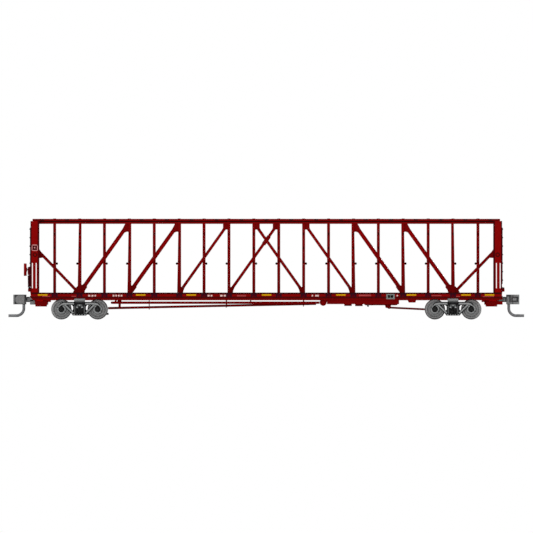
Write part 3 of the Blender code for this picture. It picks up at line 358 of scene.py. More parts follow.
# Dark grey: painted shade in the recesses of the couplers and knuckles.
coupler_painted_shade = paint("grey_coupler_recess", (56, 56, 58), 0.55, mottle=0.06, shine=0.08)
pin_grey = paint("blackened_wire", (116, 117, 119), 0.4, metallic=0.2, mottle=0.06, shine=0.2)
key_teal = paint("pocket_key", (112, 140, 136), 0.5, mottle=0.1)
black_plastic = paint("black_plastic", (15, 15, 16), 0.42, shine=0.12)
spring_black = paint("spring_black", (17, 17, 18), 0.4, shine=0.2)
hook_black = paint("hook_black", (16, 8, 9), 0.55)
steel = paint("turned_steel", (190, 188, 186), 0.28, metallic=1.0, mottle=0.04, grain=0.1)
bronze = paint("phosphor_bronze", (206, 152, 96), 0.3, metallic=1.0, mottle=0.05, grain=0.1)
yellow_print = paint("yellow_print", (214, 158, 6), 0.5, mottle=0.05)
white_print = paint("white_print", (226, 196, 190), 0.55, mottle=0.03)
faded_print = paint("faded_print", (168, 66, 66), 0.55, mottle=0.12)
placard_print = paint("placard_print", (206, 140, 138), 0.55, mottle=0.1)
grey_print = paint("grey_print", (128, 134, 130), 0.55, mottle=0.1)


# -------- truss partition

CHORD_LOW = 184.3
CHORD_WEB = (187.5, 190.6)
LOWER_FLANGE_TOP = 187.9
CAP_LOW = 190.2
CHORD_WIDTH = 8.0
GROOVE_HALF = 5.4
POST_TOP = CHORD_LOW + 0.4  # the posts and tubes end inside the chord
FLANGE_OUT = 7.5
FLANGE_IN = 5.5
POST_HALF = 2.9
POST_WEB_HALF = 1.1
TAPERED = (-360.0, -264.0, -168.0, 168.0, 264.0, 360.0)
TAPER_FOOT = 3.8
TAPER_TOP = 1.5
LACING = ((108.8, 114.0), (135.4, 140.6), (162.4, 167.6))
LACING_HALF = 1.0
LACING_BACK_HALF = 1.3
THICK_TUBES = (-360.0, -264.0)
THIN_TUBES = (-168.0, -72.0)
THICK_RADIUS = 3.85
THIN_RADIUS = 2.85
TUBE_SIDES = 28
TUBE_FOOT = 6.0
TUBE_RUN = 94.5
TUBE_CLIMB = CHORD_LOW - DECK_TOP
END_TUBE = ((-435.0, 127.6), (-365.0, 54.8))
GUSSET = 4.2
GUSSET_TOP = CHORD_LOW + 0.3
CROSSING_RUN = 72.0
CROSSING_LENGTH_HALF = 9.5
CROSSING_WIDTH_HALF = 3.9
CROSSING_DEPTH = 3.6
CROSSING_BOLTS = [(a, b) for a in (-7.5, -4.0, 4.0, 7.5) for b in (-2.4, 2.4)]
EYE_HEIGHT = 107.8
EYE_OUT = 6.6

FOOT_END = [(0, 0), (-13.2, 0), (-10.6, 5.0), (-7.2, 9.0), (-4.7, 12.2), (0, 14.0)]
FOOT_FIRST = [
    (0, 0), (9.7, 0), (10.5, 4.5), (14.6, 9.9), (14.6, 12.3), (9.7, 16.7), (7.8, 17.1), (5.3, 15.1), (0, 16.3),
]
FOOT_THICK = [(0, 0), (6.7, 0), (12.4, 7.8), (14.4, 10.9), (12.6, 14.4), (9.5, 15.3), (5.0, 13.8), (0, 14.5)]
FOOT_THIN = [(0, 0), (7.6, 0), (8.6, 4.6), (11.0, 10.3), (8.2, 12.4), (4.0, 10.8), (0, 11.0)]
TOP_THICK = [(0, 0), (-8.2, 0), (-13.4, -10.0), (-13.6, -12.9), (-9.9, -17.4), (-4.1, -15.2), (0, -16.8)]
TOP_THIN = [(0, 0), (-11.5, 0), (-11.5, -8.0), (-13.2, -11.5), (-9.5, -13.3), (-5.1, -11.0), (0, -12.2)]
BULKHEAD_GUSSET = [(-437.8, 136.0), (-428.6, 122.8), (-431.7, 118.9), (-437.8, 118.4)]


def post_edges(x, z):
    """Where a post's flange begins and ends along the car at a height."""
    if x not in TAPERED:
        return x - POST_HALF, x + POST_HALF
    away = math.copysign(1, x)
    outer = TAPER_FOOT + (TAPER_TOP - TAPER_FOOT) * (z - TRUSS_LOW.z) / (CHORD_LOW - TRUSS_LOW.z)
    return tuple(sorted((x - away * TAPER_FOOT, x + away * outer)))


def post_flange(shape, x, y):
    """One flange of a post, with its three slots left open."""
    levels = [TRUSS_FOOT, *[z for slot in LACING for z in slot], POST_TOP]
    for i, (low, high) in enumerate(zip(levels, levels[1:])):
        a, b = post_edges(x, low)
        c, d = post_edges(x, high)
        if i % 2 == 0:
            shape.prism([(a, low), (b, low), (d, high), (c, high)], "y", *y)
            continue
        slot = around(x, LACING_HALF)
        shape.prism([(a, low), (slot[0], low), (slot[0], high), (c, high)], "y", *y)
        shape.prism([(slot[1], low), (b, low), (d, high), (slot[1], high)], "y", *y)


def posts():
    """The I-shaped posts, with a dark back behind each slot of their flanges, painted as the shade inside the slots."""
    shape = Shape()
    backs = Shape()
    for x in POSTS:
        for side, _ in SIDES:
            post_flange(shape, x, span(side, FLANGE_IN, FLANGE_OUT))
            for low, high in LACING:
                depth = span(side, FLANGE_IN - 0.5, FLANGE_IN - 0.1)
                backs.block(around(x, LACING_BACK_HALF), depth, (low - 0.4, high + 0.4))
        shape.block(around(x, POST_WEB_HALF), around(0, FLANGE_IN - 0.6), (TRUSS_FOOT, POST_TOP))
    shape.car_piece("truss_posts", red_truss, stands_for="center_partition")
    backs.car_piece("truss_slot_backs", red_groove)


def tubes():
    """The slanting tubes, which all lean towards the middle of the car."""
    shape = Shape()
    for mirror in (1, -1):
        for x, radius in [(x, THICK_RADIUS) for x in THICK_TUBES] + [(x, THIN_RADIUS) for x in THIN_TUBES]:
            start = (mirror * (x + TUBE_RUN * TUBE_FOOT / TUBE_CLIMB), 0, DECK_TOP + TUBE_FOOT)
            shape.bar(start, (mirror * (x + TUBE_RUN), 0, POST_TOP), radius, TUBE_SIDES)
        start, end = [(mirror * x, 0, z) for x, z in END_TUBE]
        shape.bar(start, end, THIN_RADIUS, TUBE_SIDES)
    shape.car_piece("truss_tubes", red_tube)


def rivets(shape, points, y, radius=0.55, height=0.35):
    """Small round heads standing out of both faces of a plate."""
    profile = [(0, 0), (radius, 0), (radius, height * 0.4), (radius * 0.6, height), (0, height)]
    for x, z in points:
        for side, _ in SIDES:
            shape.lathe(profile, (x, side * (y - 0.02), z), (0, side, 0), 10)


def inner_points(outline, share=0.62):
    """Rivet places inside a plate's corners, near its outer edge."""
    middle = Vector((sum(a for a, _ in outline), sum(b for _, b in outline))) / len(outline)
    return [tuple(middle + (Vector(corner) - middle) * share) for corner in outline[2:-1]]


def gussets():
    """The plates where the tubes meet the floor, the chord, the bulkheads and each other."""
    plates = Shape()
    heads = Shape()

    def plate(outline, x, z, mirror, depth=GUSSET):
        points = [(mirror * (x + a), z + b) for a, b in outline]
        plates.prism(points, "y", -depth, depth)
        rivets(heads, inner_points(points), depth)

    for mirror in (1, -1):
        plate(FOOT_END, THICK_TUBES[0], TRUSS_FOOT, mirror)
        plate(FOOT_FIRST, THICK_TUBES[0], TRUSS_FOOT, mirror, GUSSET + 0.02)
        plate(FOOT_THICK, THICK_TUBES[1], TRUSS_FOOT, mirror)
        plate(BULKHEAD_GUSSET, 0.0, 0.0, mirror)
        for x in THIN_TUBES:
            plate(FOOT_THIN, x, TRUSS_FOOT, mirror)
            plate(TOP_THIN, x + 2 * POST_PITCH, GUSSET_TOP, mirror)
        for x in THICK_TUBES:
            plate(TOP_THICK, x + 2 * POST_PITCH, GUSSET_TOP, mirror)
    crossing_plate(plates, heads)
    plates.car_piece("truss_gussets", red_truss, bevel=0.35)
    heads.car_piece("truss_rivets", red_dark)


def crossing_plate(plates, heads):
    """The bolted plate where the two middle tubes cross, in line with one of them."""
    along = Vector((TUBE_RUN, TUBE_CLIMB)).normalized()
    across = Vector((-along.y, along.x))
    middle = Vector((0, DECK_TOP + TUBE_CLIMB * CROSSING_RUN / TUBE_RUN))
    corners = [
        tuple(middle + along * CROSSING_LENGTH_HALF * a + across * CROSSING_WIDTH_HALF * b)
        for a, b in ((-1, -1), (1, -1), (1, 1), (-1, 1))
    ]
    plates.prism(corners, "y", -CROSSING_DEPTH, CROSSING_DEPTH)
    rivets(heads, [tuple(middle + along * a + across * b) for a, b in CROSSING_BOLTS], CROSSING_DEPTH)


def chord():
    """The top chord: two flanges, the groove between them painted dark as shade, and the guides for the load straps."""
    inside = BULKHEAD_LOW.x + 0.2
    shape = Shape()
    shape.block(around(0, inside), around(0, CHORD_WIDTH), (CHORD_LOW, LOWER_FLANGE_TOP))
    shape.block(around(0, TRUSS_HIGH.x), around(0, CHORD_WIDTH), (CAP_LOW, TRUSS_HIGH.z))
    shape.car_piece("chord_flanges", red_truss, bevel=0.4)
    groove = Shape()
    groove.block(around(0, inside), around(0, GROOVE_HALF), CHORD_WEB)
    for end, _ in ENDS:
        saddle = (BULKHEAD_HIGH.z - 0.1, CAP_LOW + 0.3)
        groove.block(span(end, inside - 0.5, TRUSS_HIGH.x - 0.4), around(0, CHORD_WIDTH - 0.6), saddle)
    marks = Shape()
    for x in POSTS:
        marks.block(around(x, POST_HALF), around(0, 2.6), (TRUSS_HIGH.z - 0.3, TRUSS_HIGH.z + 0.7))
        for side, _ in SIDES:
            stiffener = span(side, GROOVE_HALF - 0.4, CHORD_WIDTH - 0.6)
            groove.block(around(x, 3.2), stiffener, (LOWER_FLANGE_TOP - 0.2, CAP_LOW + 0.2))
    for i in range(len(POSTS) + 1):
        x = (i - 9.0) * POST_PITCH
        for side, _ in SIDES:
            marks.block(around(x, 3.7), span(side, CHORD_WIDTH - 0.3, CHORD_WIDTH + 0.12), (191.1, 193.0))
    groove.car_piece("chord_groove", red_groove)
    marks.car_piece("chord_strap_guides", hook_black)


def hooks():
    """Cable eyes on the posts, one pair to every second bay."""
    shape = Shape()
    for i in range(0, len(POSTS), 2):
        for x, inward in ((POSTS[i], 1), (POSTS[i + 1], -1)):
            edge = post_edges(x, EYE_HEIGHT)[1 if inward > 0 else 0]
            for side, _ in SIDES:
                ring = arc((edge + inward * 1.5, EYE_HEIGHT), 1.2, 0, 360, 14)
                shape.wire([(a, side * EYE_OUT, b) for a, b in ring], 1.15, 8)
                depth = span(side, EYE_OUT - 0.6, EYE_OUT + 0.6)
                shape.block(around(edge, 0.6), depth, around(EYE_HEIGHT, 1.0))
    shape.car_piece("cable_eyes", hook_black)


# -------- deck fittings

WINCH_HEIGHT = 46.0
WINCH_FRAME = [
    (-5.4, 42.8), (-5.9, 48.6), (-5.0, 50.9), (5.0, 50.9), (5.9, 48.6), (5.4, 42.8), (2.9, 42.8),
    *arc((0.0, WINCH_HEIGHT), 2.7, 0, 180, 10), (-2.9, 42.8),
]
WINCH_RATCHET = [(0, 0), (2.6, 0), (2.6, 0.5), (1.9, 0.75), (1.0, 0.75), (1.0, 0.35), (0, 0.35)]


def winches(side, hand):
    """Web-strap winches in the side sill, one below each post."""
    drums = Shape()
    wheels = Shape()
    skin = WEB_FACE - 0.3
    proud = DECK_HIGH.y - 0.1
    for x in POSTS:
        drums.prism(moved(WINCH_FRAME, x), "y", *span(side, skin, proud - 0.2))
        drums.block(around(x, 2.0), span(side, skin, proud), (49.0, 51.0))
        wheels.lathe(WINCH_RATCHET, (x, side * skin, WINCH_HEIGHT), (0, side, 0), 20)
    drums.piece(f"winch_drums_{hand}", "car_body", winch_dark, slot="black_plastic")
    wheels.car_piece(f"winch_ratchets_{hand}", winch_red)


YELLOW = (-431.1, -242.0, -144.7, 0.5, 143.8, 279.9, 385.0, 430.3)
WHITE = (
    (-343.7, -338.9), (-337.3, -332.9), (-331.5, -328.0),
    (-296.5, -292.6), (-291.2, -287.6), (-286.2, -282.4), (-281.0, -277.2),
    (-113.4, -109.0), (-107.6, -103.7), (-89.3, -84.0), (-82.4, -77.7), (87.3, 90.4), (94.0, 101.4),
)
FADED = (
    (-432.0, -417.0, 43.9, 45.4), (-375.5, -366.8, 43.9, 45.4), (-56.5, -39.1, 44.5, 47.3), (178.7, 201.8, 45.0, 48.0),
    (318.8, 337.7, 45.2, 47.0), (365.7, 373.4, 43.6, 45.2), (417.2, 438.9, 43.6, 45.0),
)
DISC_MARK = (252.5, 45.9)
# Each kind of print: how far it stands proud of the sill, and its marks as (left, right, low, high).
PRINTS = (
    ("yellow_stripes", yellow_print, 0.12, [(x - 9.2, x + 9.2, 45.9, 48.9) for x in YELLOW]),
    ("white_bars", white_print, 0.12, [(left + 0.3, right - 0.3, 44.4, 47.6) for left, right in WHITE]),
    ("faded_bars", faded_print, 0.12, FADED),
    ("test_board", grey_print, 0.42, [(231.3, 247.5, 39.3, 49.2)]),
    ("test_board_panels", hook_black, 0.52, [(234.4, 238.6, 41.8, 47.0), (239.6, 244.6, 41.8, 47.0)]),
)


def markings(side, hand):
    """Yellow stripes and plain bars printed on the side sill. They carry no lettering."""
    skin = WEB_FACE - 0.2
    for name, finish, proud, marks in PRINTS:
        shape = Shape()
        for left, right, low, high in marks:
            shape.block(span(-side, left, right), span(side, skin, WEB_FACE + proud), (low, high))
        if name == "white_bars":
            place = (-side * DISC_MARK[0], side * skin, DISC_MARK[1])
            shape.lathe(washer(0, 1.5, 0, 0.35), place, (0, side, 0), 16)
        shape.piece(f"{name}_{hand}", "car_body", finish)


SEAM_HALF = 0.45
FLOOR_SEAM = (DECK_TOP - 0.2, DECK_TOP + 0.16)


def weld_seams():
    """The weld lines between the floor's plates and the bulkheads' sheets."""
    shape = Shape()
    for side, _ in SIDES:
        for x in POSTS:
            shape.block(around(x, SEAM_HALF), span(side, 8.5, 53.5), FLOOR_SEAM)
        shape.block((-435.0, 435.0), span(side, 30.6, 31.4), FLOOR_SEAM)
        for end, _ in ENDS:
            sheet = span(end, BULKHEAD_LOW.x - 0.16, BULKHEAD_LOW.x + 0.3)
            shape.block(sheet, span(side, 31.0, 31.8), (53.0, 186.0))
            for z in (97.0, 141.0):
                shape.block(sheet, span(side, 5.0, 54.5), (z, z + 0.8))
    shape.car_piece("weld_seams", red_groove)


# -------- bulkheads

BOSS_PLACE = (445.9, 124.9)
BOSS = [(2.6, 0), (4.3, 0), (4.3, 0.45), (3.9, 0.6), (2.9, 0.6), (2.6, 0.45)]
SLOTS = ((442.5, 444.7), (449.8, 452.0))
SLOT_HEIGHT = (60.0, 109.2)
TREAD_EDGE = (59.4, 62.2)
PLATFORM_EDGE = [(452.8, 45.4), (454.5, 46.2), (454.7, 53.8), (452.8, 53.8)]
RUNG_TOP = 174.3
RUNG_PITCH = 16.4
RUNG_COUNT = 7
PLACARDS = ((-1, -1), (1, 1))  # the signs of X and Y of the corners that have one
PLACARD_LENGTH = (440.6, 452.2)
PLACARD_HEIGHT = (132.4, 144.4)
PLACARD_DOT = (446.4, 138.6)


def bosses():
    """The round bosses on the bulkheads' side faces."""
    shape = Shape()
    x, z = BOSS_PLACE
    for end, _ in ENDS:
        for side, _ in SIDES:
            shape.lathe(BOSS, (end * x, side * (BULKHEAD_HIGH.y - 0.2), z), (0, side, 0), 24)
    shape.car_piece("bulkhead_bosses", red_groove)


def slot_lips():
    """A raised lip along both edges of each slot in the bulkheads' side faces."""
    shape = Shape()
    inner, outer = BULKHEAD_HIGH.y - 1.2, BULKHEAD_HIGH.y + 0.15
    for end, _ in ENDS:
        for near, far in SLOTS:
            edges = ((near - 0.4, near + 0.3), (far - 0.3, far + 0.4))
            shape.rows([(*edge, inner, outer, *SLOT_HEIGHT) for edge in edges], end, -1, 1)
    shape.car_piece("bulkhead_slot_lips", red_paint)


def bulkhead_shoes():
    """The strip that closes the gap between each bulkhead and the deck."""
    shape = Shape()
    for end, _ in ENDS:
        length = span(end, BULKHEAD_LOW.x + 0.1, DECK_HIGH.x - 0.1)
        shape.block(length, around(0, BULKHEAD_HIGH.y - 0.1), (DECK_HIGH.z - 0.2, BULKHEAD_LOW.z + 0.3))
    shape.car_piece("bulkhead_shoes", red_dark)


def platform_brackets():
    """The brackets under the ends of the crossover steps, and the dark edges of their treads."""
    brackets = Shape()
    edges = Shape()
    for end, letter in ENDS:
        low, high = inches(f"end_platform_{letter}")
        outer = max(abs(low.x), abs(high.x))
        bracket = [
            (454.2, 50.6), (454.9, 50.6), (455.2, 53.6), (outer - 0.3, 53.6), (outer + 0.2, 54.6), (outer + 0.2, 58.8),
            (outer - 0.5, 59.9), (454.2, 60.4),
        ]
        for side, _ in SIDES:
            depth = span(side, high.y - 3.0, high.y - 0.4)
            brackets.prism(moved(bracket, 0, end), "y", *depth)
            edges.block(span(end, 454.3, outer - 1.6), depth, TREAD_EDGE)
            brackets.prism(moved(PLATFORM_EDGE, 0, end), "y", *span(side, 40.0, DECK_HIGH.y - 0.6))
    brackets.car_piece("platform_brackets", red_paint, bevel=0.3)
    edges.car_piece("platform_tread_edges", hook_black, bevel=0.2)


def rung_ends():
    """The ends of the ladders' rungs, where they are bolted to the stiles. They are painted near black as shade."""
    shape = Shape()
    for end, letter in ENDS:
        for hand in ("left", "right"):
            low, high = inches(f"ladder_{letter}_{hand}")
            face = max(abs(low.x), abs(high.x))
            middle = (low.y + high.y) / 2
            half = (high.y - low.y) / 2 - 0.9
            for i in range(RUNG_COUNT):
                z = RUNG_TOP - RUNG_PITCH * i
                for y in around(middle, half):
                    shape.block(span(end, face - 0.8, face + 0.3), around(y, 1.0), around(z, 1.2))
    shape.car_piece("ladder_rung_ends", hook_black, bevel=0.2)


def placards():
    """An outlined blank panel on one side face of each bulkhead. It carries no lettering."""
    outline = Shape()
    ground = Shape()
    near, far = PLACARD_LENGTH
    low, high = PLACARD_HEIGHT
    face = BULKHEAD_HIGH.y
    dot_x, dot_z = PLACARD_DOT
    edges = (
        (near, far, face - 0.2, face + 0.14, high - 1.7, high),
        (near + 1.4, far - 1.4, face - 0.2, face + 0.14, low, low + 1.3),
        (near, near + 1.4, face - 0.2, face + 0.14, low + 0.8, high),
        (far - 1.4, far, face - 0.2, face + 0.14, low + 0.8, high),
    )
    for end, side in PLACARDS:
        outline.rows(edges, end, side)
        outline.lathe(washer(0, 1.5, 0, 0.2), (end * dot_x, side * face, dot_z), (0, side, 0), 12)
        ground.rows([(near + 0.5, far - 0.5, face - 0.2, face + 0.08, low + 0.5, high - 0.5)], end, side)
    outline.piece("bulkhead_placards", "car_body", placard_print)
    ground.piece("bulkhead_placard_grounds", "car_body", red_dark)


# -------- under the floor

TANK_RADIUS = 4.4
TANK_BAND = 4.75
DRAIN_X = 196.0
PIPE_BEND = 3.4
FITTING_SPREAD = 0.5  # how much thicker pipes and rods look than their CAD solids
HANGERS = ((-290.2, 1.4, 36.0), (-283.4, 1.6, 23.4), (-76.9, 1.3, 24.0), (-30.1, 1.3, 32.0), (71.9, 1.3, 28.0))
HANGER_TOP = 41.6
LEVER_BLOCK = ((111.0, 121.0), (-15.6, 15.6), (33.6, HANGER_TOP))
RODS = (("brake_rod_b", 1.75), ("brake_rod_a", 1.35))


def brake_cylinder():
    low, high = inches("brake_cylinder")
    middle = (low + high) / 2
    r = (high.x - low.x) / 2
    end = -low.y
    profile = [
        (0, 22.0), (r - 0.6, 22.0), (r, 22.8), (r, 45.6), (r - 0.3, 46.0), (r, 46.4), (r, 47.4), (r - 0.6, 48.2),
        (5.0, 48.4), (4.6, 47.8), (3.9, 47.8), (3.7, 49.6), (2.4, end), (0, end),
    ]
    shape = Shape()
    shape.lathe(profile, (middle.x, 0, middle.z), (0, -1, 0))
    shape.car_piece("cylinder_body", red_frame, stands_for="brake_cylinder")


def air_reservoir():
    """The air tank with domed ends and two straps, and the drain cock under it."""
    low, high = inches("air_reservoir")
    y = (low.y + high.y) / 2
    dome = [(0, 0), (1.6, 0.3), (3.0, 1.1), (4.0, 2.4), (TANK_RADIUS, 4.0)]
    profile = [(radius, low.x + x) for radius, x in dome]
    for band in (low.x + 14.0, high.x - 16.0):
        profile += [(TANK_RADIUS, band), (TANK_BAND, band + 0.2), (TANK_BAND, band + 1.8), (TANK_RADIUS, band + 2.0)]
    profile += [(radius, high.x - x) for radius, x in reversed(dome)]
    tank = Shape()
    tank.lathe(profile, (0, y, high.z - TANK_RADIUS), (1, 0, 0))
    tank.car_piece("reservoir_tank", red_under, stands_for="air_reservoir")
    cock = Shape()
    cock.lathe([(0, low.z), (1.0, low.z), (1.7, low.z + 1.0), (1.7, 29.0), (0, 29.0)], (DRAIN_X, y, 0), (0, 0, 1), 16)
    cock.car_piece("reservoir_drain", hook_black)


def brake_pipe():
    """The train's air pipe, which bends in towards the middle of the car at its B end."""
    low, high = inches("train_pipe")
    radius = (high.z - low.z) / 2
    z = (high.z + low.z) / 2
    left = low.x + radius
    y = low.y + radius
    bend = arc((left + PIPE_BEND, y + PIPE_BEND), PIPE_BEND, 180, 270, 8)
    shape = Shape()
    shape.wire([(left, high.y, z), *[(a, b, z) for a, b in bend], (high.x, y, z)], radius + FITTING_SPREAD, 20)
    shape.car_piece("brake_pipe", red_frame, stands_for="train_pipe")


def rod_hangers():
    low, high = inches("brake_rod_b")
    y = (low.y + high.y) / 2
    shape = Shape()
    for x, half, foot in HANGERS:
        shape.block(around(x, half), around(y, 2.3), (foot, HANGER_TOP))
    shape.block(*LEVER_BLOCK)
    shape.car_piece("rod_hanger_straps", red_dark, bevel=0.2)


def brake_rods():
    """The rods from the lever to both trucks. The B rod rises towards +X and the A rod falls."""
    for node, radius in RODS:
        low, high = inches(node)
        slope = math.atan2(high.z - low.z, high.x - low.x)
        drop = radius * math.cos(slope)
        y = (low.y + high.y) / 2
        start, end = Vector((low.x, y, low.z + drop)), Vector((high.x, y, high.z - drop))
        if node.endswith("a"):
            start, end = Vector((low.x, y, high.z - drop)), Vector((high.x + 5.0, y, low.z + drop))
        along = (end - start).normalized()
        thick = radius + FITTING_SPREAD
        shape = Shape()
        shape.bar(start, end, thick, 20)
        for share in (0.04, 0.96):
            point = start.lerp(end, share)
            shape.bar(point - along * 1.6, point + along * 1.6, thick, 20)
        shape.car_piece(f"{node}_bar", red_frame, stands_for=node)


# -------- hand brake

RIM_SECTION = [(-2.6, 0.2), (-0.7, -0.3), (0, 0.6), (0, 4.4), (-0.7, 5.3), (-2.6, 5.3)]
HUB = [(0, -464.0), (2.2, -464.0), (5.4, -462.9), (5.2, -462.2), (2.7, -460.9), (1.1, -460.6)]
SPOKE_COUNT = 6
SPOKE_STEPS = 6
GUARD_BACK = -454.5
CHAIN_PITCH = 2.1


def hand_wheel():
    """The brake wheel: a rim, a hub and six dished spokes."""
    pivot = JOINTS["brake_wheel_turn"]
    low, high = inches("brake_wheel")
    radius = (high.z - low.z) / 2
    rim = Shape()
    rim.lathe([(radius + r, low.x + x) for r, x in RIM_SECTION], (0, pivot.y, pivot.z), (1, 0, 0), 48)
    rim.piece("hand_wheel_rim", "brake_wheel", red_paint, slot="red_plastic")
    shape = Shape()
    shape.lathe([*HUB, (1.1, high.x), (0, high.x)], (0, pivot.y, pivot.z), (1, 0, 0), 24)
    for i in range(SPOKE_COUNT):
        angle = math.tau * i / SPOKE_COUNT
        points = []
        for step in range(SPOKE_STEPS + 1):
            share = step / SPOKE_STEPS
            reach = 1.8 + (radius - 3.0) * share
            y, z = pivot.y + reach * math.cos(angle), pivot.z + reach * math.sin(angle)
            points.append((-462.6 - 1.6 * share, y, z))
        shape.wire(points, 0.85, 10)
    shape.piece("hand_wheel_spokes", "brake_wheel", red_dark, stands_for="brake_wheel", slot="red_plastic")


def chain_guide():
    """The hand brake's chain, drawn as a beaded rod, with the guard behind it."""
    shape = Shape()
    low, high = inches("brake_rod_vertical")
    x = (low.x + high.x) / 2
    y = (low.y + high.y) / 2
    radius = (high.x - low.x) / 2
    inner, outer = radius - 0.5, radius + 0.2
    profile = [(0, low.z)]
    height = low.z
    while height < high.z - 2.2:
        profile += [(inner, height), (outer, height + 0.5), (outer, height + 1.5), (inner, height + 2.0)]
        height += CHAIN_PITCH
    profile += [(inner, high.z), (0, high.z)]
    shape.lathe(profile, (x, y, 0), (0, 0, 1), 20)
    foot, top = low.z + 1.0, high.z + 1.5
    guard = [(x - radius + 0.3, foot), (GUARD_BACK, foot), (GUARD_BACK, top), (x - radius - 0.4, top)]
    shape.prism(guard, "y", y - 1.6, y + 3.4)
    shape.car_piece("brake_chain_guide", red_dark, stands_for="brake_rod_vertical")


# -------- trucks

AXLE_HEIGHT = 19.7
JOURNAL = 35.0  # from a truck's centre to each of its axles
FRAME_DEPTH = (38.0, 46.0)
FRAME_FOOT = 7.5
UPPER_WEB = [
    (10.2, 34.3), (30.8, 34.3), (37.2, 31.6), (39.3, 27.4), (33.0, 27.0), (29.0, 27.6), (22.8, 27.8), (15.2, 27.8),
    (10.2, 27.0),
]
LOWER_WEB = [
    (12.8, 7.5), (14.8, 10.4), (31.0, 27.0), (29.0, 28.1), (22.8, 27.9), (13.6, 17.4), (11.0, 17.4), (10.2, 7.5),
]
COLUMN_WEB = [
    (7.4, 7.5), (12.4, 7.5), (13.6, 17.6), (12.4, 19.8), (12.5, 25.2), (15.2, 27.9), (10.4, 33.9), (7.4, 33.9),
]
UPPER_RIB = [
    (10.9, 32.5), (30.2, 32.5), (35.6, 30.4), (38.2, 27.2), (37.0, 26.0), (34.6, 27.6), (30.0, 28.3), (24.8, 29.1),
    (12.0, 29.1), (10.9, 28.4),
]
DIAGONAL_RIB = [(12.0, 12.2), (29.4, 29.3)]
COLUMN_SHADE = [(9.3, 11.4), (9.3, 27.0)]
FOOT_PADS = ((4.8, 0.8), (10.4, 1.8))
ADAPTER_BOLTS = ((-7.0, 3.6), (7.0, -3.6))
BOLSTER_ARCH = [(-7.8, 22.4), (7.8, 22.4), (7.8, 29.0), (5.2, 32.6), (-5.2, 32.6), (-7.8, 29.0)]
BOLSTER_FACE = [(-6.2, 25.4), (6.2, 25.4), (5.4, 28.2), (3.6, 29.6), (-3.6, 29.6), (-5.4, 28.2)]
WEAR_PAD = [(2.6, 22.2), (7.0, 22.2), (6.4, 25.2), (3.6, 25.2)]
SPRING_PLACES = [(x, y) for x in (-4.7, 0.0, 4.7) for y in (39.9, 43.0)]
SPRING_HEIGHT = (11.0, 22.4)
SPRING_TURNS = 5
TURN_STEPS = 12
WHEEL_PROFILE = [
    (2.5, 23.8), (5.6, 23.8), (6.2, 24.6), (6.8, 26.0), (8.2, 26.8), (13.6, 26.8), (14.8, 25.6), (15.4, 24.2),
    (16.2, 23.8), (18.8, 23.8), (19.4, 24.1), (19.7, 24.7), (19.6, 25.4), (18.9, 26.6), (18.3, 27.6), (18.0, 28.6),
    (17.95, 35.0), (17.5, 35.6), (16.9, 35.8), (15.6, 35.8), (15.0, 35.3), (14.6, 33.6), (13.9, 32.6), (12.4, 32.2),
    (8.6, 32.6), (7.2, 33.4), (6.4, 34.6), (5.8, 36.3), (5.2, 36.6), (2.5, 36.6),
]
FLANGE_EDGE = washer(18.9, 19.72, 24.9, 25.6)
# Rings of painted shade at the steps of the wheel's face, as (inner radius, outer radius, distance along the axle).
WHEEL_SHADE_LINES = ((15.2, 15.7, 34.9), (12.6, 13.2, 31.9), (9.9, 10.4, 32.0))
WHEEL_SIDES = 72
CAP_BODY = [
    (0, 0.6), (2.7, 0.6), (2.7, 0), (5.2, 0), (5.7, 0.5), (5.7, 1.4), (5.2, 1.9), (4.6, 2.0), (4.3, 2.9), (3.4, 3.1),
]
CAP_BOLTS = 3
CAP_BOLT_CIRCLE = 3.1


def strip_between(shape, points, half, y):
    """A rib of even width along a bent line on the side frame."""
    for start, end in zip(points, points[1:]):
        start, end = Vector(start), Vector(end)
        along = (end - start).normalized()
        across = Vector((-along.y, along.x)) * half
        outline = [start + across, start - across, end - across, end + across]
        shape.prism([tuple(point) for point in outline], "y", *y)


def side_frame(web, rib, shade, centre, side):
    """One side of a truck: a recessed web, painted dark as shade, with light raised ribs along its members."""
    near, far = FRAME_DEPTH
    back = span(side, near, far - 1.2)
    face = span(side, far - 2.4, far)
    middle = span(side, far - 2.4, far - 0.5)
    for mirror in (1, -1):
        for outline in (UPPER_WEB, LOWER_WEB, COLUMN_WEB):
            web.prism(moved(outline, centre, mirror), "y", *back)
        rib.prism(moved(UPPER_RIB, centre, mirror), "y", *face)
        strip_between(rib, moved(DIAGONAL_RIB, centre, mirror), 1.45, face)
        strip_between(shade, moved(COLUMN_SHADE, centre, mirror), 1.0, middle)
        for x, half in FOOT_PADS:
            rib.block(around(centre + mirror * x, half), face, (7.6, 10.4))
        journal_box(web, rib, shade, centre + mirror * JOURNAL, side)
    web.block(around(centre, 13.0), back, (FRAME_FOOT, 10.6))
    web.block(around(centre, 10.4), back, (31.2, 37.0))
    shade.block(around(centre, 9.6), middle, (33.4, 36.6))
    rib.block(around(centre, 10.3), face, (36.4, 40.5))
    rib.block(around(centre, 0.8), face, (7.6, 10.2))


def journal_box(web, rib, shade, x, side):
    """The end of a side frame at an axle: the adapter above it, rings round the bearing and two bolts. The adapter, the
    inner ring and the bolts are in the web's painted shade.
    """
    near, far = FRAME_DEPTH
    towards = (0, side, 0)
    axle = (x, 0, AXLE_HEIGHT)
    web.block(around(x, 2.6), span(side, near, far - 0.2), (24.4, 30.0))
    rib.lathe(washer(5.6, 8.3, near, far - 0.8), axle, towards, 32)
    shade.lathe(washer(8.2, 8.8, near, far - 1.0), axle, towards, 32)
    web.lathe(washer(2.9, 5.7, near, far - 0.3), axle, towards, 24)
    for along, up in ADAPTER_BOLTS:
        web.lathe(washer(0, 1.0, far - 1.0, far - 0.4), (x + along, 0, AXLE_HEIGHT + up), towards, 12)


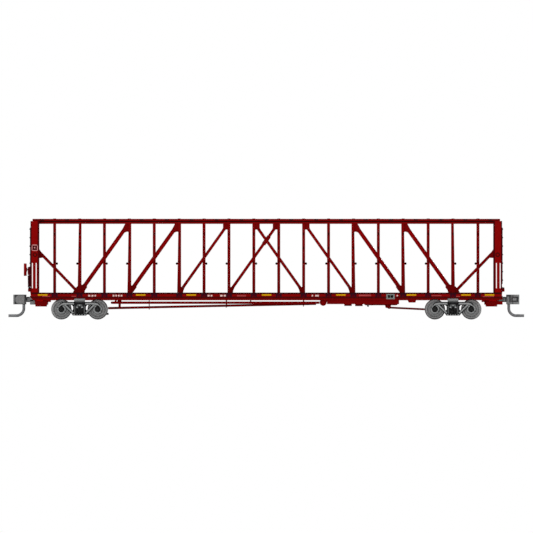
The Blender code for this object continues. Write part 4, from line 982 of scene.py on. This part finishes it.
def bolster_end(web, rib, shade, centre, side):
    """The end of the truck bolster, painted dark as shade under its arched top, with two wear pads at its foot."""
    web.prism(moved(BOLSTER_ARCH, centre), "y", *span(side, 37.0, 44.2))
    shade.prism(moved(BOLSTER_FACE, centre), "y", *span(side, 43.8, 45.0))
    rib.lathe(washer(0, 1.5, 44.8, 45.4), (centre, 0, 27.6), (0, side, 0), 12)
    for mirror in (1, -1):
        rib.prism(moved(WEAR_PAD, centre, mirror), "y", *span(side, 43.6, 45.6))


def springs(shape, centre, side):
    """The coil springs under the bolster, in two rows of three, and the plate behind them."""
    low, high = SPRING_HEIGHT
    steps = TURN_STEPS * SPRING_TURNS
    for x, y in SPRING_PLACES:
        points = []
        for i in range(steps + 1):
            angle = math.tau * i / TURN_STEPS
            across, out = 1.75 * math.cos(angle), 1.3 * math.sin(angle)
            points.append((centre + x + across, side * y + out, low + (high - low) * i / steps))
        shape.wire(points, 0.52, 6)
    shape.block(around(centre, 7.7), span(side, 38.2, 38.8), (10.4, 23.0))


def truck_lever(centre, body):
    """The truck's brake lever, which reaches out from under the bolster of the B truck."""
    reach = inches("truck_frame_b")[1].x - centre
    tail = [
        (8.0, 22.5), (8.0, 14.0), (12.0, 9.4), (reach, 9.4), (reach, 12.5), (13.4, 12.5), (11.0, 15.0), (11.0, 22.5),
    ]
    lever = Shape()
    lever.block((centre + reach - 5.4, centre + reach + 0.1), (-2.2, 2.2), (9.0, 12.9))
    lever.prism(moved(tail, centre), "y", -1.5, 1.5)
    lever.grey_piece("truck_lever_b", body, lever_dark, bevel=0.3)


def truck(letter):
    """A truck's frame in four pieces by colour, over the whole of its moulding."""
    centre = JOINTS[f"truck_{letter}_swivel"].x
    body = f"truck_{letter}"
    web, rib, shade, coils = (Shape() for _ in range(4))
    for side, _ in SIDES:
        side_frame(web, rib, shade, centre, side)
        bolster_end(web, rib, shade, centre, side)
        springs(coils, centre, side)
    shade.block(around(centre, 7.0), around(0, 41.0), (22.6, 28.6))
    shade.lathe(washer(3.8, 10.0, 22.0, 29.0), (centre, 0, 0), (0, 0, 1), 32)
    if letter == "b":
        truck_lever(centre, body)
    # The web is painted shade; the bolster piece is a shaded copy of the grey.
    web.grey_piece(f"truck_web_{letter}", body, acetal_painted_shade, bevel=0.2, stands_for=f"truck_frame_{letter}")
    rib.grey_piece(f"truck_ribs_{letter}", body, acetal_grey, bevel=0.3)
    shade.grey_piece(f"truck_bolster_{letter}", body, acetal_mid, bevel=0.3)
    coils.grey_piece(f"truck_springs_{letter}", body, spring_black)


def wheel(name, body, x, side):
    """A dished wheel with tread, flange, rim and hub turned in one profile, and darker rings painted as shade at its
    flange edge and at the steps of its face.
    """
    axle, towards = (x, 0, AXLE_HEIGHT), (0, side, 0)
    shape = Shape()
    shape.lathe(WHEEL_PROFILE, axle, towards, WHEEL_SIDES)
    shape.grey_piece(f"{name}_turned", body, wheel_grey, stands_for=name)
    edge = Shape()
    edge.lathe(FLANGE_EDGE, axle, towards, WHEEL_SIDES)
    edge.grey_piece(f"{name}_flange_edge", body, wheel_edge)
    lines = Shape()
    for inner, outer, y in WHEEL_SHADE_LINES:
        lines.lathe(washer(inner, outer, y, y + 0.7), axle, towards, WHEEL_SIDES)
    lines.grey_piece(f"{name}_lines", body, wheel_line)


def bearing_cap(name, body, x, side):
    """A roller bearing's end cap with three bolts, outside the side frame."""
    low, high = inches(name)
    inside = low.y if side > 0 else -high.y
    outside = high.y if side > 0 else -low.y
    shape = Shape()
    profile = [(radius, inside + y) for radius, y in CAP_BODY] + [(2.2, outside - 0.5), (1.9, outside), (0, outside)]
    shape.lathe(profile, (x, 0, AXLE_HEIGHT), (0, side, 0), 36)
    for i in range(CAP_BOLTS):
        angle = math.radians(90) + math.tau * i / CAP_BOLTS
        place = (x + CAP_BOLT_CIRCLE * math.cos(angle), 0, AXLE_HEIGHT + CAP_BOLT_CIRCLE * math.sin(angle))
        shape.lathe(washer(0, 0.95, inside + 2.6, outside - 0.3), place, (0, side, 0), 6)
    shape.piece(f"{name}_detail", body, black_plastic, stands_for=name, slot="black_plastic")


def wheelsets(letter):
    for number in (1, 2):
        label = f"{letter}{number}"
        body = f"wheelset_{label}"
        x = JOINTS[f"{body}_roll"].x
        for side, hand in SIDES:
            wheel(f"wheel_{label}_{hand}", body, x, side)
            bearing_cap(f"bearing_cap_{label}_{hand}", body, x, side)


# -------- couplers

PIN_BEND = 14.0
GUARD_ARM = [
    (466.2, 30.3), (477.5, 30.3), (481.3, 31.8), (483.2, 34.4), (483.9, 38.6), (483.2, 42.8), (481.3, 45.4),
    (477.5, 46.6), (466.2, 46.6),
]
# A row is one block: its reach along the car, across it and up. Across, + is the guard arm's side and - the knuckle's.
COUPLER_PADS = (
    (484.9, 487.0, 8.6, 12.0, 30.0, 47.6),
    (464.6, 468.1, -11.6, -7.0, 36.0, 44.5),
    (463.4, 468.1, -11.8, -7.0, 30.4, 35.8),
    (468.0, 471.0, -11.8, -7.0, 30.4, 33.0),
)
COUPLER_RECESSES = (
    (464.6, 484.9, 11.4, 12.6, 29.5, 47.9),
    (462.3, 465.4, 6.0, 12.0, 38.4, 47.4),
    (464.2, 472.0, -11.7, -7.5, 44.7, 47.5),
)
KNUCKLE_RECESSES = (
    (473.4, 486.0, -12.5, -11.6, 33.9, 43.9),
    (470.7, 472.3, -11.5, -10.4, 33.6, 43.7),
)
KNUCKLE_PAD = ((475.0, 482.2, -13.0, -11.8, 36.4, 41.6),)
# The shank and the pocket round it have the same blocks on both sides.
SHANK_RECESSES = (
    (456.4, 461.4, 4.0, 4.9, 41.8, 43.9),
    (456.0, 462.5, 4.0, 4.8, 33.6, 35.2),
    (460.6, 462.8, 4.0, 4.9, 35.0, 43.0),
)
# The pocket's panels, painted brighter as light.
POCKET_PANELS = ((429.6, 442.6, 14.0, 15.7, 35.4, 39.8),)
POCKET_CHEEKS = (
    (446.0, 455.4, 12.0, 13.2, 38.2, 43.2),
    (446.0, 455.6, 12.0, 13.4, 29.6, 35.4),
)
POCKET_KEYS = {
    "a": ((446.6, 455.2, 12.0, 13.0, 35.8, 38.3),),
    "b": ((446.2, 449.8, 12.0, 13.0, 36.2, 38.6),),
}
# The pocket's dark corners, painted shade.
POCKET_CORNERS = (
    (446.2, 455.3, 12.0, 12.6, 35.0, 38.6),
    (452.2, 455.8, 12.0, 14.6, 43.0, 45.6),
)


def trip_pin(end, letter):
    """The curved wire under the coupler: down, round a bend and out to a tail."""
    low, high = inches(f"trip_pin_{letter}")
    radius = (high.y - low.y) / 2
    back = min(abs(low.x), abs(high.x)) + radius
    tail = max(abs(low.x), abs(high.x))
    z = low.z + radius
    bend = arc((back + PIN_BEND, z + PIN_BEND), PIN_BEND, 180, 270, 14)
    points = [(back, high.z), (back, z + PIN_BEND + 2.0), *bend, (tail, z)]
    shape = Shape()
    shape.wire([(end * x, 0, height) for x, height in points], radius + 0.2, 20)
    shape.piece(f"trip_wire_{letter}", f"coupler_{letter}", pin_grey, stands_for=f"trip_pin_{letter}", slot="steel")


def coupler_trim(end, letter):
    """Raised pads, and dark recesses painted as shade, on both sides of the coupler and of its knuckle."""
    body, knuckle = f"coupler_{letter}", f"knuckle_{letter}"
    pads = Shape()
    pads.prism(moved(GUARD_ARM, 0, end), "y", *span(end, 11.8, 13.0))
    pads.rows(COUPLER_PADS, end, end)
    recesses = Shape().rows(COUPLER_RECESSES, end, end).rows(SHANK_RECESSES, end, -1, 1)
    pads.grey_piece(f"coupler_pads_{letter}", body, coupler_grey, bevel=0.25)
    recesses.grey_piece(f"coupler_recesses_{letter}", body, coupler_painted_shade)
    hollow = Shape().rows(KNUCKLE_RECESSES, end, end)
    hollow.grey_piece(f"knuckle_recess_{letter}", knuckle, coupler_painted_shade)
    pad = Shape().rows(KNUCKLE_PAD, end, end)
    pad.grey_piece(f"knuckle_pad_{letter}", knuckle, coupler_grey, bevel=0.3)


def pocket_trim(end, letter):
    """Cheeks, key and dark corners on both sides of the pocket that holds the coupler. Its panels are painted brighter
    as light, and its dark corners are painted shade.
    """
    Shape().rows(POCKET_PANELS, end, -1, 1).car_piece(f"pocket_panels_{letter}", red_painted_light, bevel=0.3)
    cheek_paint = red_paint if letter == "a" else coupler_grey
    Shape().rows(POCKET_CHEEKS, end, -1, 1).car_piece(f"pocket_cheeks_{letter}", cheek_paint, bevel=0.3)
    keys = Shape().rows(POCKET_KEYS[letter], end, -1, 1)
    keys.grey_piece(f"pocket_keys_{letter}", "car_body", key_teal, bevel=0.2)
    Shape().rows(POCKET_CORNERS, end, -1, 1).car_piece(f"pocket_corners_{letter}", hook_black)


# -------- the CAD pieces that stay


def carried_over():
    """Finishes for the CAD pieces whose shape is right as it is."""
    # The deck's, the bulkheads' and the ladders' finishes carry painted shade.
    finishes = {
        "deck": deck_paint_and_shade, "underframe": red_frame, "weight": steel, "brake_housing": housing_red,
        "control_valve": red_under, "brake_lever": red_frame, "coupler_box_a": red_paint, "coupler_box_b": coupler_grey,
    }
    at_both_ends = {
        "bulkhead_{}": bulkhead_paint_and_shade, "end_platform_{}": platform_paint, "ladder_{}_right": red_ladder_painted_shade,
        "ladder_{}_left": red_ladder_painted_shade, "box_screw_{}": steel, "truck_pin_{}": black_plastic,
        "centring_spring_{}": bronze, "coupler_body_{}": coupler_grey, "knuckle_{}": coupler_grey,
        "knuckle_pin_{}": steel, "axle_{}1": steel, "axle_{}2": steel,
    }
    for _, letter in ENDS:
        finishes |= {name.format(letter): finish for name, finish in at_both_ends.items()}
    for name, finish in finishes.items():
        for slot in frame["nodes"][name].material_slots:
            slot.material = finish


# -------- studio

WORLD_EVEN = 0.18
WORLD_SIDES = 0.1
WORLD_SIDES_POWER = 1.6
WORLD_ABOVE = 0.4
FLOOR_HALF = 1.5
SUN_ANGLE = math.radians(9)
LAMPS = (
    ("key", (-0.1, -1.0, 0.03), 1.0),
    ("back_fill", (0.1, 1.0, 0.03), 1.0),
    ("top_fill", (0.0, 0.0, 1.0), 1.3),
    ("left_fill", (-1.0, 0.0, 0.25), 1.1),
    ("right_fill", (1.0, 0.0, 0.25), 1.1),
)
LAMP_DISTANCE = 0.4
CAMERA_DISTANCE = 0.5
VIEW_WIDTH = 1027.5
VIEW_CENTRE = (0.4, 102.2)


def world_light(scene):
    """A world that the camera sees white, and that lights softly from above and from both sides."""
    scene.world = bpy.data.worlds.new("studio")
    sky = Nodes(scene.world)
    sky.tree.nodes.clear()
    _, y, z = sky.add("SeparateXYZ", {0: sky.add("TexCoord").outputs["Generated"]}).outputs
    curve = sky.maths("POWER", sky.maths("ABSOLUTE", y, 0.0), WORLD_SIDES_POWER)
    above = sky.maths("MULTIPLY", sky.maths("MAXIMUM", z, 0.0), WORLD_ABOVE)
    strength = sky.maths("ADD", sky.maths("ADD", sky.maths("MULTIPLY", curve, WORLD_SIDES), above), WORLD_EVEN)
    white = (1, 1, 1, 1)
    lit = sky.add("Background", {"Color": white, "Strength": strength})
    seen = sky.add("Background", {"Color": white, "Strength": 1.0})
    to_camera = sky.add("LightPath").outputs["Is Camera Ray"]
    choice = sky.add("MixShader", {"Fac": to_camera, 1: lit.outputs[0], 2: seen.outputs[0]})
    sky.add("OutputWorld", {"Surface": choice.outputs[0]})


def studio():
    """The world's light, a plain pale floor, five soft suns and the camera at the photograph's side view."""
    scene = bpy.context.scene
    scene.view_settings.view_transform = "Standard"
    world_light(scene)

    floor_mesh = bpy.data.meshes.new("floor")
    corners = [(x * FLOOR_HALF, y * FLOOR_HALF, 0) for x, y in ((-1, -1), (1, -1), (1, 1), (-1, 1))]
    floor_mesh.from_pydata(corners, [], [(0, 1, 2, 3)])
    floor_mesh.materials.append(paint("pale_floor", (236, 236, 236), 0.8, mottle=0.01, grain=0.02))
    floor = bpy.data.objects.new("floor", floor_mesh)
    scene.collection.objects.link(floor)

    for name, towards, energy in LAMPS:
        light = bpy.data.lights.new(name, "SUN")
        light.angle = SUN_ANGLE
        light.energy = energy
        lamp = bpy.data.objects.new(name, light)
        lamp.location = Vector(towards) * LAMP_DISTANCE
        lamp.rotation_euler = (-Vector(towards)).to_track_quat("-Z", "Y").to_euler()
        scene.collection.objects.link(lamp)

    camera = bpy.data.cameras.new("camera")
    camera.type = "ORTHO"
    camera.ortho_scale = VIEW_WIDTH * IN
    camera.clip_end = 10.0
    eye = bpy.data.objects.new("camera", camera)
    eye.location = (VIEW_CENTRE[0] * IN, -CAMERA_DISTANCE, VIEW_CENTRE[1] * IN)
    eye.rotation_euler = (math.radians(90), 0, 0)
    scene.collection.objects.link(eye)
    scene.camera = eye


studio()
carried_over()
posts()
tubes()
gussets()
chord()
hooks()
for side, hand in SIDES:
    winches(side, hand)
    markings(side, hand)
weld_seams()
bosses()
slot_lips()
bulkhead_shoes()
platform_brackets()
rung_ends()
placards()
brake_cylinder()
air_reservoir()
brake_pipe()
rod_hangers()
brake_rods()
hand_wheel()
chain_guide()
for end, letter in ENDS:
    truck(letter)
    wheelsets(letter)
    trip_pin(end, letter)
    coupler_trim(end, letter)
    pocket_trim(end, letter)
